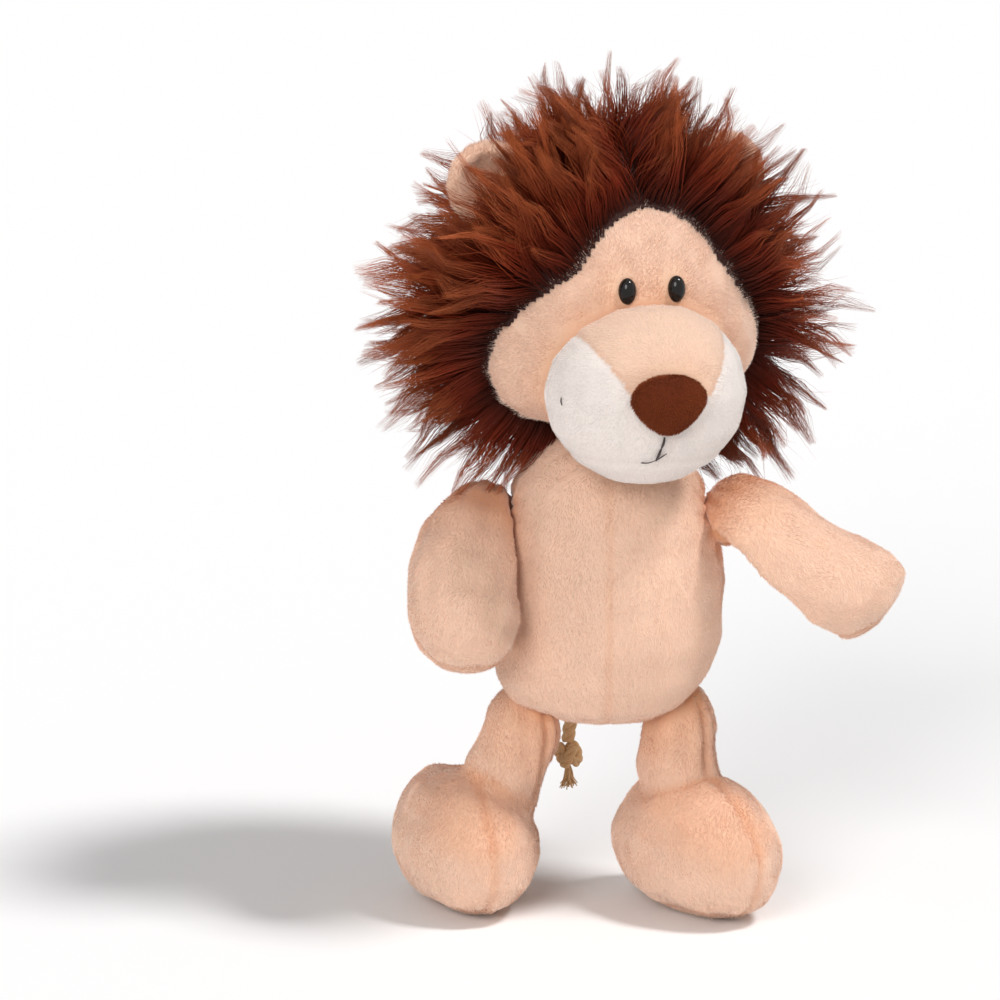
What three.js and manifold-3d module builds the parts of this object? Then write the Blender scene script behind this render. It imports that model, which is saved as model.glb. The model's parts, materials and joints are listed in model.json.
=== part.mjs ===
// Sewn plush lion with a long-pile mane, tied limbs and a braided rope tail.
// Millimetres, +Z up. The lion faces -Y, and its own right side is at -X.
// Every plush form is a stuffed pod: a smooth outline turned about an axis, flattened and bowed.
// The cloth is the wall between a pod and the same pod drawn in by the cloth's thickness.

import * as THREE from 'three';
import { mergeVertices } from 'three/addons/utils/BufferGeometryUtils.js';
import Module from 'manifold-3d';

const wasm = await Module();
wasm.setup();

// Cloth, seams and fits
const cloth = 1.4;
const seam = 0.3;
const fit = 0.3;
const overrun = 700;
const soleDepth = 0.5;

// Torso
const torsoBottom = 56;
const torsoHeight = 92;
const torsoHipRadius = 37;
const torsoWaistRadius = 35;
const torsoShoulderRadius = 32;
const torsoDepthShare = 0.89;
const pelletBagHeight = 20;

// Ball joints where limbs and head are tied on: root ball, thread tack and how far the pivot stands out
const neckBall = 9;
const neckRise = 2;
const shoulderBall = 9;
const shoulderOut = 36;
const shoulderDrop = 26;
const hipBall = 10.5;
const hipOut = 23.5;
const hipDrop = 2;
const tackShare = 0.5;
const tackThickness = 1.4;

// Arms: swing is forward from hanging, lift is out to the side, in degrees
const armLength = 56.5;
const pawRadius = 19;
const forearmRadius = 18;
const upperArmRadius = 17.5;
const armRootRadius = 14.5;
const armDepthShare = 0.92;
const armSwing = [28, 83];
const armLift = [7, 70];
const rightArmBow = 2.5;
const leftArmBow = -9;
const armRoomShares = [0.2, 0.4, 0.6, 0.8, 1];
const armLiftShares = [0.25, 0.5, 0.75];
const armPoses = [
  { side: 'right', hand: -1, swing: 41, lift: 7, bow: rightArmBow },
  { side: 'left', hand: 1, swing: 28, lift: 62, bow: leftArmBow },
];

// Legs and feet
const ankleRadius = 14.5;
const shinRadius = 12;
const thighRadius = 10.6;
const footLength = 64;
const heelRadius = 22.5;
const instepRadius = 22.5;
const toeRadius = 22;
const footHeightShare = 0.93;
const soleRise = 3;
const legSwing = [-25, 60];
const legTurn = [-15, 15];
const rightFootOut = 42.5;
const rightFootBack = 2.5;
const leftFootOut = 27.5;
const leftFootBack = -3;
const rightAnkleOut = 35;
const leftAnkleOut = 20.5;
const ankleBack = 2;
const legPoses = [
  {
    side: 'right', hand: -1, footTurn: 16, seamTurn: 30,
    foot: [-rightFootOut, rightFootBack], ankle: [-rightAnkleOut, ankleBack],
  },
  {
    side: 'left', hand: 1, footTurn: 33, seamTurn: 33,
    foot: [leftFootOut, leftFootBack], ankle: [leftAnkleOut, ankleBack],
  },
];

// Head, from the neck pivot, facing -Y before it is turned
const headTurn = 18;
const headDrop = 2;
const headHeight = 82;
const jawRadius = 46;
const templeRadius = 43;
const crownRadius = 37;
const headDepthShare = 0.86;
const headBack = 2;
const faceSeamBack = 3;

// Muzzle and nose
const muzzleForward = 32;
const muzzleHeight = 14;
const muzzleHalfWidth = 30;
const muzzleHalfDepth = 26;
const muzzleHalfHeight = 27;
const bridgeHalfWidth = 11.3;
const bridgeFlare = 33;
const chinDrop = 17;
const noseHalfWidth = 11;
const noseHalfHeight = 8.7;
const noseHalfDepth = 6;
const noseRise = 2;
const noseTopShare = 0.14;

// Eyes, with a shank through the face and a washer behind it
const eyeApart = 15.2;
const eyeHeight = 45.5;
const eyeHalfWidth = 2.6;
const eyeHalfHeight = 3.9;
const eyeDome = 2.6;
const shankRadius = 1;
const shankProud = 0.7;
const washerRadius = 4.5;
const washerThickness = 1;

// Ears
const earOut = 49;
const earAngle = 41.6;
const earRadius = 13.5;
const earThickness = 8;

// Mane: the envelope of the dense hair
const maneHalfWidth = 69;
const maneFrontRadius = 62;
const maneBackRadius = 58;
const maneHeightShare = 0.87;
const maneFront = 31;
const maneBack = 54;
const maneUnderside = 13.5;
const napeBack = 22;
const crownRise = 20;
const nodLimits = [-10, 5];
const neckMargin = 2;

// Bell-shaped opening of the mane round the face: half-widths and heights from the neck pivot
const faceTop = 69;
const browHalfWidth = 22;
const browHeight = 55;
const eyeLineHalfWidth = 32;
const eyeLineHeight = 40;
const cheekHalfWidth = 41;
const cheekHeight = 20;
const jowlHalfWidth = 33;
const jowlHeight = -6;

// Tail rope: diameter, exit in the back of the torso, route from the exit, knot and frayed end
const ropeDiameter = 4.3;
const ropeSides = 8;
const ropeSteps = 12;
const tailAside = -4.5;
const tailRise = 14;
const tailRoute = [
  [0, 0, 0], [0, 1.3, -0.7], [0, 2.6, -1.4], [0, 3.9, -2.1], [-0.1, 5.8, -3.4], [-0.3, 7.5, -5.1],
  [-0.7, 8.8, -7.2], [-1.3, 9.6, -9.6], [-2.1, 9.9, -12.2], [-3, 9.9, -14.6], [-3.9, 9.9, -16.9],
  [-4.8, 9.9, -19.1], [-5.5, 9.9, -21.3], [-6, 9.9, -23.6], [-6.3, 9.9, -26], [-6.4, 9.9, -28.5],
];
const knotRadius = 4.6;
const knotLength = 8;
const tasselRadius = 3.4;
const tasselLength = 6.5;
const tasselStrands = 6;

// Rings and sides of the meshes. A lining, drawn in from the outside, is coarser
const slopeShare = 0.125;
const openingSteps = 16;
const torsoMesh = { rings: 10, sides: 20 };
const headMesh = { rings: 11, sides: 22 };
const maneMesh = { rings: 8, sides: 20 };
const limbMesh = { rings: 8, sides: 14 };
const footMesh = { rings: 10, sides: 16 };
const smallMesh = { rings: 6, sides: 12 };
const wideLining = { rings: 8, sides: 14 };
const slimLining = { rings: 6, sides: 10 };

const rad = THREE.MathUtils.degToRad;
const xAxis = new THREE.Vector3(1, 0, 0);
const yAxis = new THREE.Vector3(0, 1, 0);
const zAxis = new THREE.Vector3(0, 0, 1);

// Solids: a closed three.js geometry becomes an exact solid, and back
function solid(geometry) {
  const bare = geometry.clone();
  bare.deleteAttribute('normal');
  bare.deleteAttribute('uv');
  const merged = mergeVertices(bare);
  const corners = merged.index.array;
  const kept = [];
  for (let i = 0; i < corners.length; i += 3) {
    const [a, b, c] = corners.slice(i, i + 3);
    if (a !== b && b !== c && c !== a) kept.push(a, b, c);
  }
  const mesh = { numProp: 3, vertProperties: merged.attributes.position.array };
  return new wasm.Manifold(new wasm.Mesh({ ...mesh, triVerts: Uint32Array.from(kept) }));
}

function geometryOf(body) {
  const mesh = body.getMesh();
  const geometry = new THREE.BufferGeometry();
  geometry.setAttribute('position', new THREE.Float32BufferAttribute(mesh.vertProperties, 3));
  geometry.setIndex(new THREE.Uint32BufferAttribute(mesh.triVerts, 1));
  geometry.computeVertexNormals();
  return geometry;
}

const cut = (body, cutters) => cutters.reduce((left, cutter) => left.subtract(cutter), body);

// The half of space on the side that the normal points to, from a plane through a point
function halfSpace(point, normal) {
  const box = new THREE.BoxGeometry(overrun, overrun, overrun);
  box.translate(0, 0, overrun / 2);
  box.applyQuaternion(new THREE.Quaternion().setFromUnitVectors(zAxis, normal.clone().normalize()));
  box.translate(point.x, point.y, point.z);
  return solid(box);
}

// Both halves of a body, parted by a seam along a plane
function partAlong(body, point, normal) {
  const unit = normal.clone().normalize();
  const half = unit.clone().multiplyScalar(seam / 2);
  const ahead = body.intersect(halfSpace(point.clone().add(half), unit));
  const behind = body.intersect(halfSpace(point.clone().sub(half), unit.clone().negate()));
  return [ahead, behind];
}

function ball(radius, centre, mesh = limbMesh) {
  const sphere = new THREE.SphereGeometry(radius, mesh.sides, mesh.rings);
  sphere.translate(centre.x, centre.y, centre.z);
  return sphere;
}

// Room for a ball to turn in: its facets stay outside the radius, where a ball's own stay inside
function ballRoom(radius, centre, mesh = limbMesh) {
  const flat = Math.cos(Math.PI / mesh.sides) * Math.cos(Math.PI / mesh.rings / 2);
  return ball(radius / flat, centre, mesh);
}

function ellipsoid(halfSizes, centre, mesh) {
  const sphere = new THREE.SphereGeometry(1, mesh.sides, mesh.rings);
  sphere.rotateX(Math.PI / 2);
  sphere.scale(halfSizes.x, halfSizes.y, halfSizes.z);
  sphere.translate(centre.x, centre.y, centre.z);
  return sphere;
}

function rod(radius, start, end, mesh = smallMesh) {
  const along = end.clone().sub(start);
  const cylinder = new THREE.CylinderGeometry(radius, radius, along.length(), mesh.sides);
  cylinder.applyQuaternion(new THREE.Quaternion().setFromUnitVectors(yAxis, along.clone().normalize()));
  const middle = start.clone().add(end).multiplyScalar(1 / 2);
  cylinder.translate(middle.x, middle.y, middle.z);
  return cylinder;
}

// Radius of a pod at a share of its length: a smooth curve through its radii, closed round at the ends
function swellAt(form, share) {
  const curve = new THREE.SplineCurve(form.radii.map((r, i) => new THREE.Vector2(i, r)));
  const rise = Math.min(1, Math.abs(2 * share - 1));
  return curve.getPoint(share).y * (1 - rise ** form.fullness) ** (1 / form.fullness);
}

// A stuffed pod along +Z from its start, drawn out or in all over by grow
function pod(form, grow = 0, mesh = grow < 0 ? form.lining : form.mesh) {
  const at = (turn) => {
    const level = Math.cos(turn);
    const rise = -Math.sign(level) * Math.abs(level) ** (2 / form.fullness);
    const share = (rise + 1) / 2;
    return new THREE.Vector2(swellAt(form, share), form.length * share);
  };
  const outline = [];
  for (let i = 0; i <= mesh.rings; i += 1) {
    const turn = (Math.PI * i) / mesh.rings;
    const nudge = (Math.PI / mesh.rings) * slopeShare;
    const before = at(Math.max(0, turn - nudge));
    const after = at(Math.min(Math.PI, turn + nudge));
    const along = after.sub(before).normalize();
    const pole = i === 0 || i === mesh.rings;
    const out = pole ? new THREE.Vector2(0, Math.sign(i - 1)) : new THREE.Vector2(along.y, -along.x);
    outline.push(at(turn).addScaledVector(out, grow));
    if (pole) outline[i].x = 0;
  }
  const geometry = new THREE.LatheGeometry(outline, mesh.sides);
  geometry.rotateX(Math.PI / 2);
  if (form.flatDown) geometry.rotateZ(Math.PI / form.mesh.sides);
  const widest = Math.max(...form.radii);
  geometry.scale(1, (widest * (form.depthShare ?? 1) + grow) / (widest + grow), 1);
  if (form.bow) bend(geometry, form);
  return geometry;
}

function bend(geometry, form) {
  const places = geometry.attributes.position;
  for (let i = 0; i < places.count; i += 1) {
    const share = THREE.MathUtils.clamp(places.getZ(i) / form.length, 0, 1);
    places.setX(i, places.getX(i) + form.bow * Math.sin(Math.PI * share));
  }
}

// The round end by which a limb or the head is tied on
function rootBall(radius, grow, centre) {
  return ball(radius + grow, centre, grow < 0 ? slimLining : limbMesh);
}

// Ball joints. The torso has a dimple for each root ball and a recess for the thread tack behind it
const torsoTop = torsoBottom + torsoHeight;
const neck = {
  name: 'neck',
  pivot: new THREE.Vector3(0, 0, torsoTop + neckRise),
  toTorso: new THREE.Vector3(0, 0, -1),
  radius: neckBall,
};
const shoulders = armPoses.map((pose) => ({
  name: `shoulder_${pose.side}`,
  pivot: new THREE.Vector3(pose.hand * shoulderOut, 0, torsoTop - shoulderDrop),
  toTorso: new THREE.Vector3(-pose.hand, 0, 0),
  radius: shoulderBall,
}));
const hips = legPoses.map((pose) => ({
  name: `hip_${pose.side}`,
  pivot: new THREE.Vector3(pose.hand * hipOut, 0, torsoBottom - hipDrop),
  toTorso: new THREE.Vector3(0, 0, 1),
  radius: hipBall,
}));
const joints = [neck, ...shoulders, ...hips];

const along = (joint, distance) => joint.pivot.clone().addScaledVector(joint.toTorso, distance);
const recessDepth = (joint) => joint.radius + fit + tackThickness + fit;

function socket(joint, grow) {
  const dimple = ballRoom(joint.radius + fit + grow, joint.pivot);
  const tackRoom = joint.radius * tackShare + fit + grow;
  const recess = rod(tackRoom, joint.pivot, along(joint, recessDepth(joint) + grow));
  return solid(dimple).add(solid(recess));
}

function tack(joint) {
  const stem = rod(
    joint.radius * tackShare,
    along(joint, joint.radius / 2),
    along(joint, joint.radius + fit + tackThickness),
  );
  return cut(solid(stem), [solid(ballRoom(joint.radius + fit, joint.pivot))]);
}

// Materials
const peach = new THREE.MeshStandardMaterial({ color: 0xeec5a5, roughness: 0.95 });
const blush = new THREE.MeshStandardMaterial({ color: 0xe8b08a, roughness: 0.95 });
const white = new THREE.MeshStandardMaterial({ color: 0xe9e2df, roughness: 0.95 });
const fur = new THREE.MeshStandardMaterial({ color: 0x5a2012, roughness: 0.8 });
const backing = new THREE.MeshStandardMaterial({ color: 0x3a150c, roughness: 0.95 });
const velour = new THREE.MeshStandardMaterial({ color: 0x6a3418, roughness: 0.85 });
const glass = new THREE.MeshStandardMaterial({ color: 0x0a0807, roughness: 0.08 });
const nylon = new THREE.MeshStandardMaterial({ color: 0xf0eee8, roughness: 0.5 });
const wadding = new THREE.MeshStandardMaterial({ color: 0xf6f4ee, roughness: 1 });
const linen = new THREE.MeshStandardMaterial({ color: 0xd8cdb4, roughness: 0.95 });
const thread = new THREE.MeshStandardMaterial({ color: 0xd9a679, roughness: 0.8 });
const rope = new THREE.MeshStandardMaterial({ color: 0xb98a55, roughness: 0.9 });

const lion = new THREE.Group();
const head = new THREE.Group();
head.position.copy(neck.pivot);
head.rotation.z = rad(headTurn);
lion.add(head);

function add(group, name, body, material) {
  const mesh = new THREE.Mesh(geometryOf(body), material);
  mesh.name = name;
  group.add(mesh);
}

// Torso: two panels sewn down the middle, a bag of pellets at the seat and wadding above it
const torsoForm = {
  length: torsoHeight,
  radii: [
    torsoHipRadius, (torsoHipRadius + torsoWaistRadius) / 2, torsoWaistRadius,
    (torsoWaistRadius + torsoShoulderRadius) / 2, torsoShoulderRadius,
  ],
  depthShare: torsoDepthShare,
  fullness: 2.5,
  mesh: torsoMesh,
  lining: wideLining,
};

function torsoShape(grow) {
  const geometry = pod(torsoForm, grow);
  geometry.translate(0, 0, torsoBottom);
  return geometry;
}

function torsoSolid(grow) {
  const sockets = joints.map((joint) => socket(joint, -grow));
  return cut(solid(torsoShape(grow)), sockets);
}

function makeTorso() {
  const shell = torsoSolid(0).subtract(torsoSolid(-cloth));
  const [left, right] = partAlong(shell, new THREE.Vector3(), xAxis);
  add(lion, 'torso_panel_left', left, peach);
  add(lion, 'torso_panel_right', right, peach);
  const inside = torsoSolid(-cloth - fit);
  const bagTop = new THREE.Vector3(0, 0, torsoBottom + pelletBagHeight);
  const [wad, bag] = partAlong(inside, bagTop, zAxis);
  add(lion, 'torso_filling', wad, wadding);
  add(lion, 'torso_pellet_bag', bag, linen);
}

// Stitching that ties head and limbs on
function makeTacks() {
  for (const joint of joints) add(lion, `${joint.name}_stitching`, tack(joint), thread);
}

// Arms hang along -Z from the shoulder, then swing forward about X and lift about their own Y
function armTurn(pose, swing, lift) {
  const forward = new THREE.Matrix4().makeRotationX(rad(-swing));
  const out = new THREE.Matrix4().makeRotationY(rad(-pose.hand * lift));
  return forward.multiply(out);
}

function armForm(pose) {
  return {
    length: armLength + shoulderBall,
    radii: [pawRadius, forearmRadius, upperArmRadius, armRootRadius],
    depthShare: armDepthShare,
    fullness: 2.6,
    bow: pose.hand * pose.bow,
    mesh: limbMesh,
    lining: slimLining,
  };
}

// The torso as the hanging arm sees it at the ends of its motion, to leave room for it
function torsoRoom(pose, pivot, grow) {
  const [hanging, forward] = armSwing;
  const [low, high] = armLift;
  const between = armRoomShares.map((share) => [THREE.MathUtils.lerp(hanging, forward, share), low]);
  const lifting = armLiftShares.map((share) => [hanging, THREE.MathUtils.lerp(low, high, share)]);
  const ends = [[pose.swing, pose.lift], [hanging, low], [hanging, high], [forward, high]];
  const turns = [...ends, ...between, ...lifting];
  return turns.map(([swing, lift]) => {
    const shape = torsoShape(grow + fit);
    shape.translate(-pivot.x, -pivot.y, -pivot.z);
    shape.applyMatrix4(armTurn(pose, swing, lift).invert());
    return solid(shape);
  });
}

function armSolid(pose, pivot, grow) {
  const limb = pod(armForm(pose), grow);
  limb.translate(0, 0, -armLength);
  const cutters = torsoRoom(pose, pivot, -grow);
  const root = solid(rootBall(shoulderBall, grow, new THREE.Vector3()));
  return cut(solid(limb), cutters).add(root);
}

function makeArm(pose, joint) {
  const place = new THREE.Group();
  place.position.copy(joint.pivot);
  place.setRotationFromMatrix(armTurn(pose, pose.swing, pose.lift));
  lion.add(place);
  const skin = armSolid(pose, joint.pivot, 0).subtract(armSolid(pose, joint.pivot, -cloth));
  const [back, front] = partAlong(skin, new THREE.Vector3(), yAxis);
  add(place, `arm_front_${pose.side}`, front, peach);
  add(place, `arm_back_${pose.side}`, back, peach);
  add(place, `arm_filling_${pose.side}`, armSolid(pose, joint.pivot, -cloth - fit), wadding);
}

// Feet lie along the floor from heel to toe, cut flat where they stand
const footForm = {
  length: footLength,
  radii: [heelRadius, instepRadius, toeRadius],
  depthShare: footHeightShare,
  fullness: 3.6,
  flatDown: true,
  mesh: footMesh,
  lining: slimLining,
};
const facetDropShare = Math.cos(Math.PI / footMesh.sides);
const footMiddle = instepRadius * footHeightShare * facetDropShare - soleDepth;

function footShape(pose, grow) {
  const geometry = pod(footForm, grow);
  geometry.translate(0, 0, -footLength / 2);
  const toe = new THREE.Vector3(Math.sin(rad(pose.footTurn)), -Math.cos(rad(pose.footTurn)), 0);
  const side = new THREE.Vector3().crossVectors(zAxis, toe);
  geometry.applyMatrix4(new THREE.Matrix4().makeBasis(side, zAxis, toe));
  geometry.translate(pose.foot[0], pose.foot[1], footMiddle);
  return geometry;
}

function makeFoot(pose) {
  const above = (height) => halfSpace(new THREE.Vector3(0, 0, height), zAxis);
  const outer = solid(footShape(pose, 0)).intersect(above(0));
  const inner = solid(footShape(pose, -cloth)).intersect(above(cloth));
  const skin = outer.subtract(inner);
  const [upper, sole] = partAlong(skin, new THREE.Vector3(0, 0, soleRise), zAxis);
  const across = new THREE.Vector3(Math.cos(rad(pose.footTurn)), Math.sin(rad(pose.footTurn)), 0);
  const middle = new THREE.Vector3(pose.foot[0], pose.foot[1], footMiddle);
  const halves = partAlong(upper, middle, across.multiplyScalar(pose.hand));
  add(lion, `foot_outer_${pose.side}`, halves[0], blush);
  add(lion, `foot_inner_${pose.side}`, halves[1], blush);
  add(lion, `foot_sole_${pose.side}`, sole, peach);
  const wad = solid(footShape(pose, -cloth - fit)).intersect(above(cloth + fit));
  add(lion, `foot_filling_${pose.side}`, wad, wadding);
}

// Legs run from the hip ball down into the instep, and are cut by the foot they are sewn to
function legShape(pose, joint, grow) {
  const ankle = new THREE.Vector3(pose.ankle[0], pose.ankle[1], footMiddle);
  const up = joint.pivot.clone().sub(ankle);
  const form = {
    length: up.length() + hipBall,
    radii: [ankleRadius, shinRadius, thighRadius, thighRadius],
    fullness: 3,
    mesh: limbMesh,
    lining: slimLining,
  };
  const geometry = pod(form, grow);
  geometry.applyQuaternion(new THREE.Quaternion().setFromUnitVectors(zAxis, up.normalize()));
  geometry.translate(ankle.x, ankle.y, ankle.z);
  return geometry;
}

// The torso as the leg sees it at the ends of its swing and turn
function bellyRoom(joint, grow) {
  const ends = legSwing.flatMap((swing) => legTurn.map((turn) => [swing, turn]));
  return [[0, 0], ...ends].map(([swing, turn]) => {
    const shape = torsoShape(grow + fit);
    shape.translate(-joint.pivot.x, -joint.pivot.y, -joint.pivot.z);
    const back = new THREE.Matrix4().makeRotationX(rad(swing));
    shape.applyMatrix4(back.multiply(new THREE.Matrix4().makeRotationZ(rad(-turn))));
    shape.translate(joint.pivot.x, joint.pivot.y, joint.pivot.z);
    return solid(shape);
  });
}

function legSolid(pose, joint, grow) {
  const room = bellyRoom(joint, -grow);
  const foot = solid(footShape(pose, fit - grow));
  const root = solid(rootBall(hipBall, grow, joint.pivot));
  return cut(cut(solid(legShape(pose, joint, grow)), room).add(root), [foot]);
}

function makeLeg(pose, joint) {
  const skin = legSolid(pose, joint, 0).subtract(legSolid(pose, joint, -cloth));
  const across = new THREE.Vector3(Math.cos(rad(pose.seamTurn)), Math.sin(rad(pose.seamTurn)), 0);
  const halves = partAlong(skin, joint.pivot, across.multiplyScalar(pose.hand));
  add(lion, `leg_outer_${pose.side}`, halves[0], peach);
  add(lion, `leg_inner_${pose.side}`, halves[1], peach);
  add(lion, `leg_filling_${pose.side}`, legSolid(pose, joint, -cloth - fit), wadding);
}

// Head ball, from the neck pivot, with the root ball that sits in the torso's dimple
const headForm = {
  length: headHeight,
  radii: [jawRadius, templeRadius, crownRadius],
  depthShare: headDepthShare,
  fullness: 2.3,
  mesh: headMesh,
  lining: wideLining,
};

function headShape(grow) {
  const geometry = pod(headForm, grow);
  geometry.translate(0, headBack, -headDrop);
  return geometry;
}

// How far forward the head ball's front lies at a place across and up
function faceFront(across, height) {
  const widest = swellAt(headForm, (height + headDrop) / headHeight);
  return headBack - headDepthShare * Math.sqrt(widest ** 2 - across ** 2);
}

const eyes = [-1, 1].map((hand) => ({
  side: hand < 0 ? 'right' : 'left',
  centre: new THREE.Vector3((hand * eyeApart) / 2, faceFront(eyeApart / 2, eyeHeight), eyeHeight),
}));

// How deep behind its eye a washer clears the lining, whose facets lie in by a sag
function washerSeat(eye) {
  const reach = washerRadius + fit;
  const above = faceFront(eye.centre.x, eye.centre.z + reach + cloth);
  const beside = faceFront(Math.abs(eye.centre.x) + reach, eye.centre.z);
  const sagShare = 2 - Math.cos(Math.PI / wideLining.sides) - Math.cos(Math.PI / wideLining.rings / 2);
  return Math.max(above, beside) - eye.centre.y + cloth + fit + jawRadius * sagShare;
}

const shankEnd = (eye) => washerSeat(eye) + washerThickness + shankProud;
const deeper = (eye, distance) => eye.centre.clone().addScaledVector(yAxis, distance);

function makeHead() {
  const root = solid(rootBall(neckBall, 0, new THREE.Vector3()));
  const rootInside = solid(rootBall(neckBall, -cloth, new THREE.Vector3()));
  const outer = solid(headShape(0)).add(root);
  const inner = solid(headShape(-cloth)).add(rootInside);
  const bore = (eye) => rod(shankRadius + fit, deeper(eye, -eyeDome), deeper(eye, shankEnd(eye) + fit));
  const shanks = eyes.map((eye) => solid(bore(eye)));
  const skin = cut(outer.subtract(inner), shanks);
  const [back, face] = partAlong(skin, new THREE.Vector3(0, faceSeamBack, 0), yAxis);
  add(head, 'face_panel', face, peach);
  add(head, 'head_back_panel', back, backing);
  const washerRooms = eyes.map((eye) => {
    const end = deeper(eye, washerSeat(eye) + washerThickness + fit);
    return solid(rod(washerRadius + fit, deeper(eye, -eyeDome), end));
  });
  const rootFill = solid(rootBall(neckBall, -cloth - fit, new THREE.Vector3()));
  const wad = cut(solid(headShape(-cloth - fit)).add(rootFill), [...washerRooms, ...shanks]);
  add(head, 'head_filling', wad, wadding);
}

function makeEyes() {
  for (const eye of eyes) {
    const halfSizes = new THREE.Vector3(eyeHalfWidth, eyeDome, eyeHalfHeight);
    const dome = cut(solid(ellipsoid(halfSizes, eye.centre, smallMesh)), [solid(headShape(fit))]);
    const shank = rod(shankRadius, deeper(eye, -eyeDome / 2), deeper(eye, shankEnd(eye)));
    add(head, `eye_${eye.side}`, dome.add(solid(shank)), glass);
    const seat = washerSeat(eye);
    const washer = rod(washerRadius, deeper(eye, seat), deeper(eye, seat + washerThickness));
    const bore = rod(shankRadius + fit, deeper(eye, 0), deeper(eye, shankEnd(eye) + fit));
    add(head, `eye_washer_${eye.side}`, cut(solid(washer), [solid(bore)]), nylon);
  }
}

// The torso's neck end, turned round and nodded to both limits, which chin and mane leave clear
function neckRoom() {
  const round = { ...torsoForm, depthShare: 1 };
  return [...nodLimits, 0].map((nod) => {
    const shape = pod(round, neckMargin, wideLining);
    shape.translate(0, 0, torsoBottom - neck.pivot.z);
    shape.rotateX(rad(-nod));
    return solid(shape);
  });
}

// Muzzle: a stuffed oval before the face, of a peach bridge, two white cheeks and a white chin
const muzzleCentre = new THREE.Vector3(0, -muzzleForward, muzzleHeight);

function muzzleShape(grow) {
  const sizes = new THREE.Vector3(muzzleHalfWidth, muzzleHalfDepth, muzzleHalfHeight);
  return ellipsoid(sizes.addScalar(grow), muzzleCentre, grow < 0 ? wideLining : maneMesh);
}

function makeMuzzle() {
  const room = [solid(headShape(fit)), ...neckRoom()];
  const skin = cut(solid(muzzleShape(0)), [solid(muzzleShape(-cloth)), ...room]);
  const [upper, chin] = partAlong(skin, new THREE.Vector3(0, 0, muzzleHeight - chinDrop), zAxis);
  const bridge = bridgeWedge(seam / 2);
  add(head, 'muzzle_bridge', upper.intersect(bridge), peach);
  add(head, 'muzzle_chin', chin, white);
  const cheeks = upper.subtract(bridgeWedge(-seam / 2));
  const [left, right] = partAlong(cheeks, new THREE.Vector3(), xAxis);
  add(head, 'muzzle_cheek_left', left, white);
  add(head, 'muzzle_cheek_right', right, white);
  const wad = cut(solid(muzzleShape(-cloth - fit)), room);
  add(head, 'muzzle_filling', wad, wadding);
}

// The room that the bridge panel fills above the nose, between seams that flare upwards
function bridgeWedge(inset) {
  const nostrils = new THREE.Vector3(0, 0, muzzleHeight + noseRise + inset);
  const flare = rad(bridgeFlare);
  return [-1, 1].reduce((wedge, hand) => {
    const normal = new THREE.Vector3(-hand * Math.cos(flare), 0, Math.sin(flare));
    const edge = new THREE.Vector3(hand * bridgeHalfWidth, 0, muzzleHeight + noseRise);
    return wedge.intersect(halfSpace(edge.addScaledVector(normal, inset), normal));
  }, halfSpace(nostrils, zAxis));
}

function makeNose() {
  const front = -muzzleForward - muzzleHalfDepth;
  const centre = new THREE.Vector3(0, front, muzzleHeight + noseRise);
  const halfSizes = new THREE.Vector3(noseHalfWidth, noseHalfDepth, noseHalfHeight);
  const shape = ellipsoid(halfSizes, centre, limbMesh);
  const places = shape.attributes.position;
  for (let i = 0; i < places.count; i += 1) {
    const rise = (places.getZ(i) - centre.z) / noseHalfHeight;
    places.setX(i, places.getX(i) * (1 + noseTopShare * rise));
  }
  add(head, 'nose', cut(solid(shape), [solid(muzzleShape(fit))]), velour);
}

// Ears: flattened rounds standing out through the mane, each of a front and a back panel
const headMiddle = new THREE.Vector3(0, headBack, headHeight / 2 - headDrop);

function earShape(hand, grow) {
  const sizes = new THREE.Vector3(earRadius, earThickness / 2, earRadius).addScalar(grow);
  const angle = rad(earAngle);
  const reach = new THREE.Vector3(hand * Math.cos(angle), 0, Math.sin(angle)).multiplyScalar(earOut);
  return ellipsoid(sizes, headMiddle.clone().add(reach), smallMesh);
}

function makeEars() {
  for (const [side, hand] of [['right', -1], ['left', 1]]) {
    const whole = cut(solid(earShape(hand, 0)), [solid(headShape(fit))]);
    const [back, front] = partAlong(whole, headMiddle, yAxis);
    add(head, `ear_front_${side}`, front, peach);
    add(head, `ear_back_${side}`, back, peach);
  }
}

// Mane: an oval cap of hair round the back of the head, open at the face and under the chin
const maneForm = {
  length: maneFront + maneBack,
  radii: [maneBackRadius, maneHalfWidth, maneHalfWidth, maneFrontRadius],
  depthShare: maneHeightShare,
  fullness: 2.6,
  mesh: maneMesh,
};

function faceOpening() {
  const half = [
    [jowlHalfWidth, jowlHeight], [cheekHalfWidth, cheekHeight],
    [eyeLineHalfWidth, eyeLineHeight], [browHalfWidth, browHeight],
  ];
  const rising = half.map(([x, z]) => new THREE.Vector2(x, z));
  const falling = half.map(([x, z]) => new THREE.Vector2(-x, z)).reverse();
  const outline = new THREE.Shape();
  outline.moveTo(-jowlHalfWidth, -overrun / 2);
  outline.lineTo(jowlHalfWidth, -overrun / 2);
  outline.lineTo(jowlHalfWidth, jowlHeight);
  outline.splineThru([...rising.slice(1), new THREE.Vector2(0, faceTop), ...falling]);
  outline.closePath();
  const run = { depth: overrun, bevelEnabled: false, curveSegments: openingSteps };
  const opening = new THREE.ExtrudeGeometry(outline, run);
  opening.rotateX(Math.PI / 2);
  return opening;
}

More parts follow.
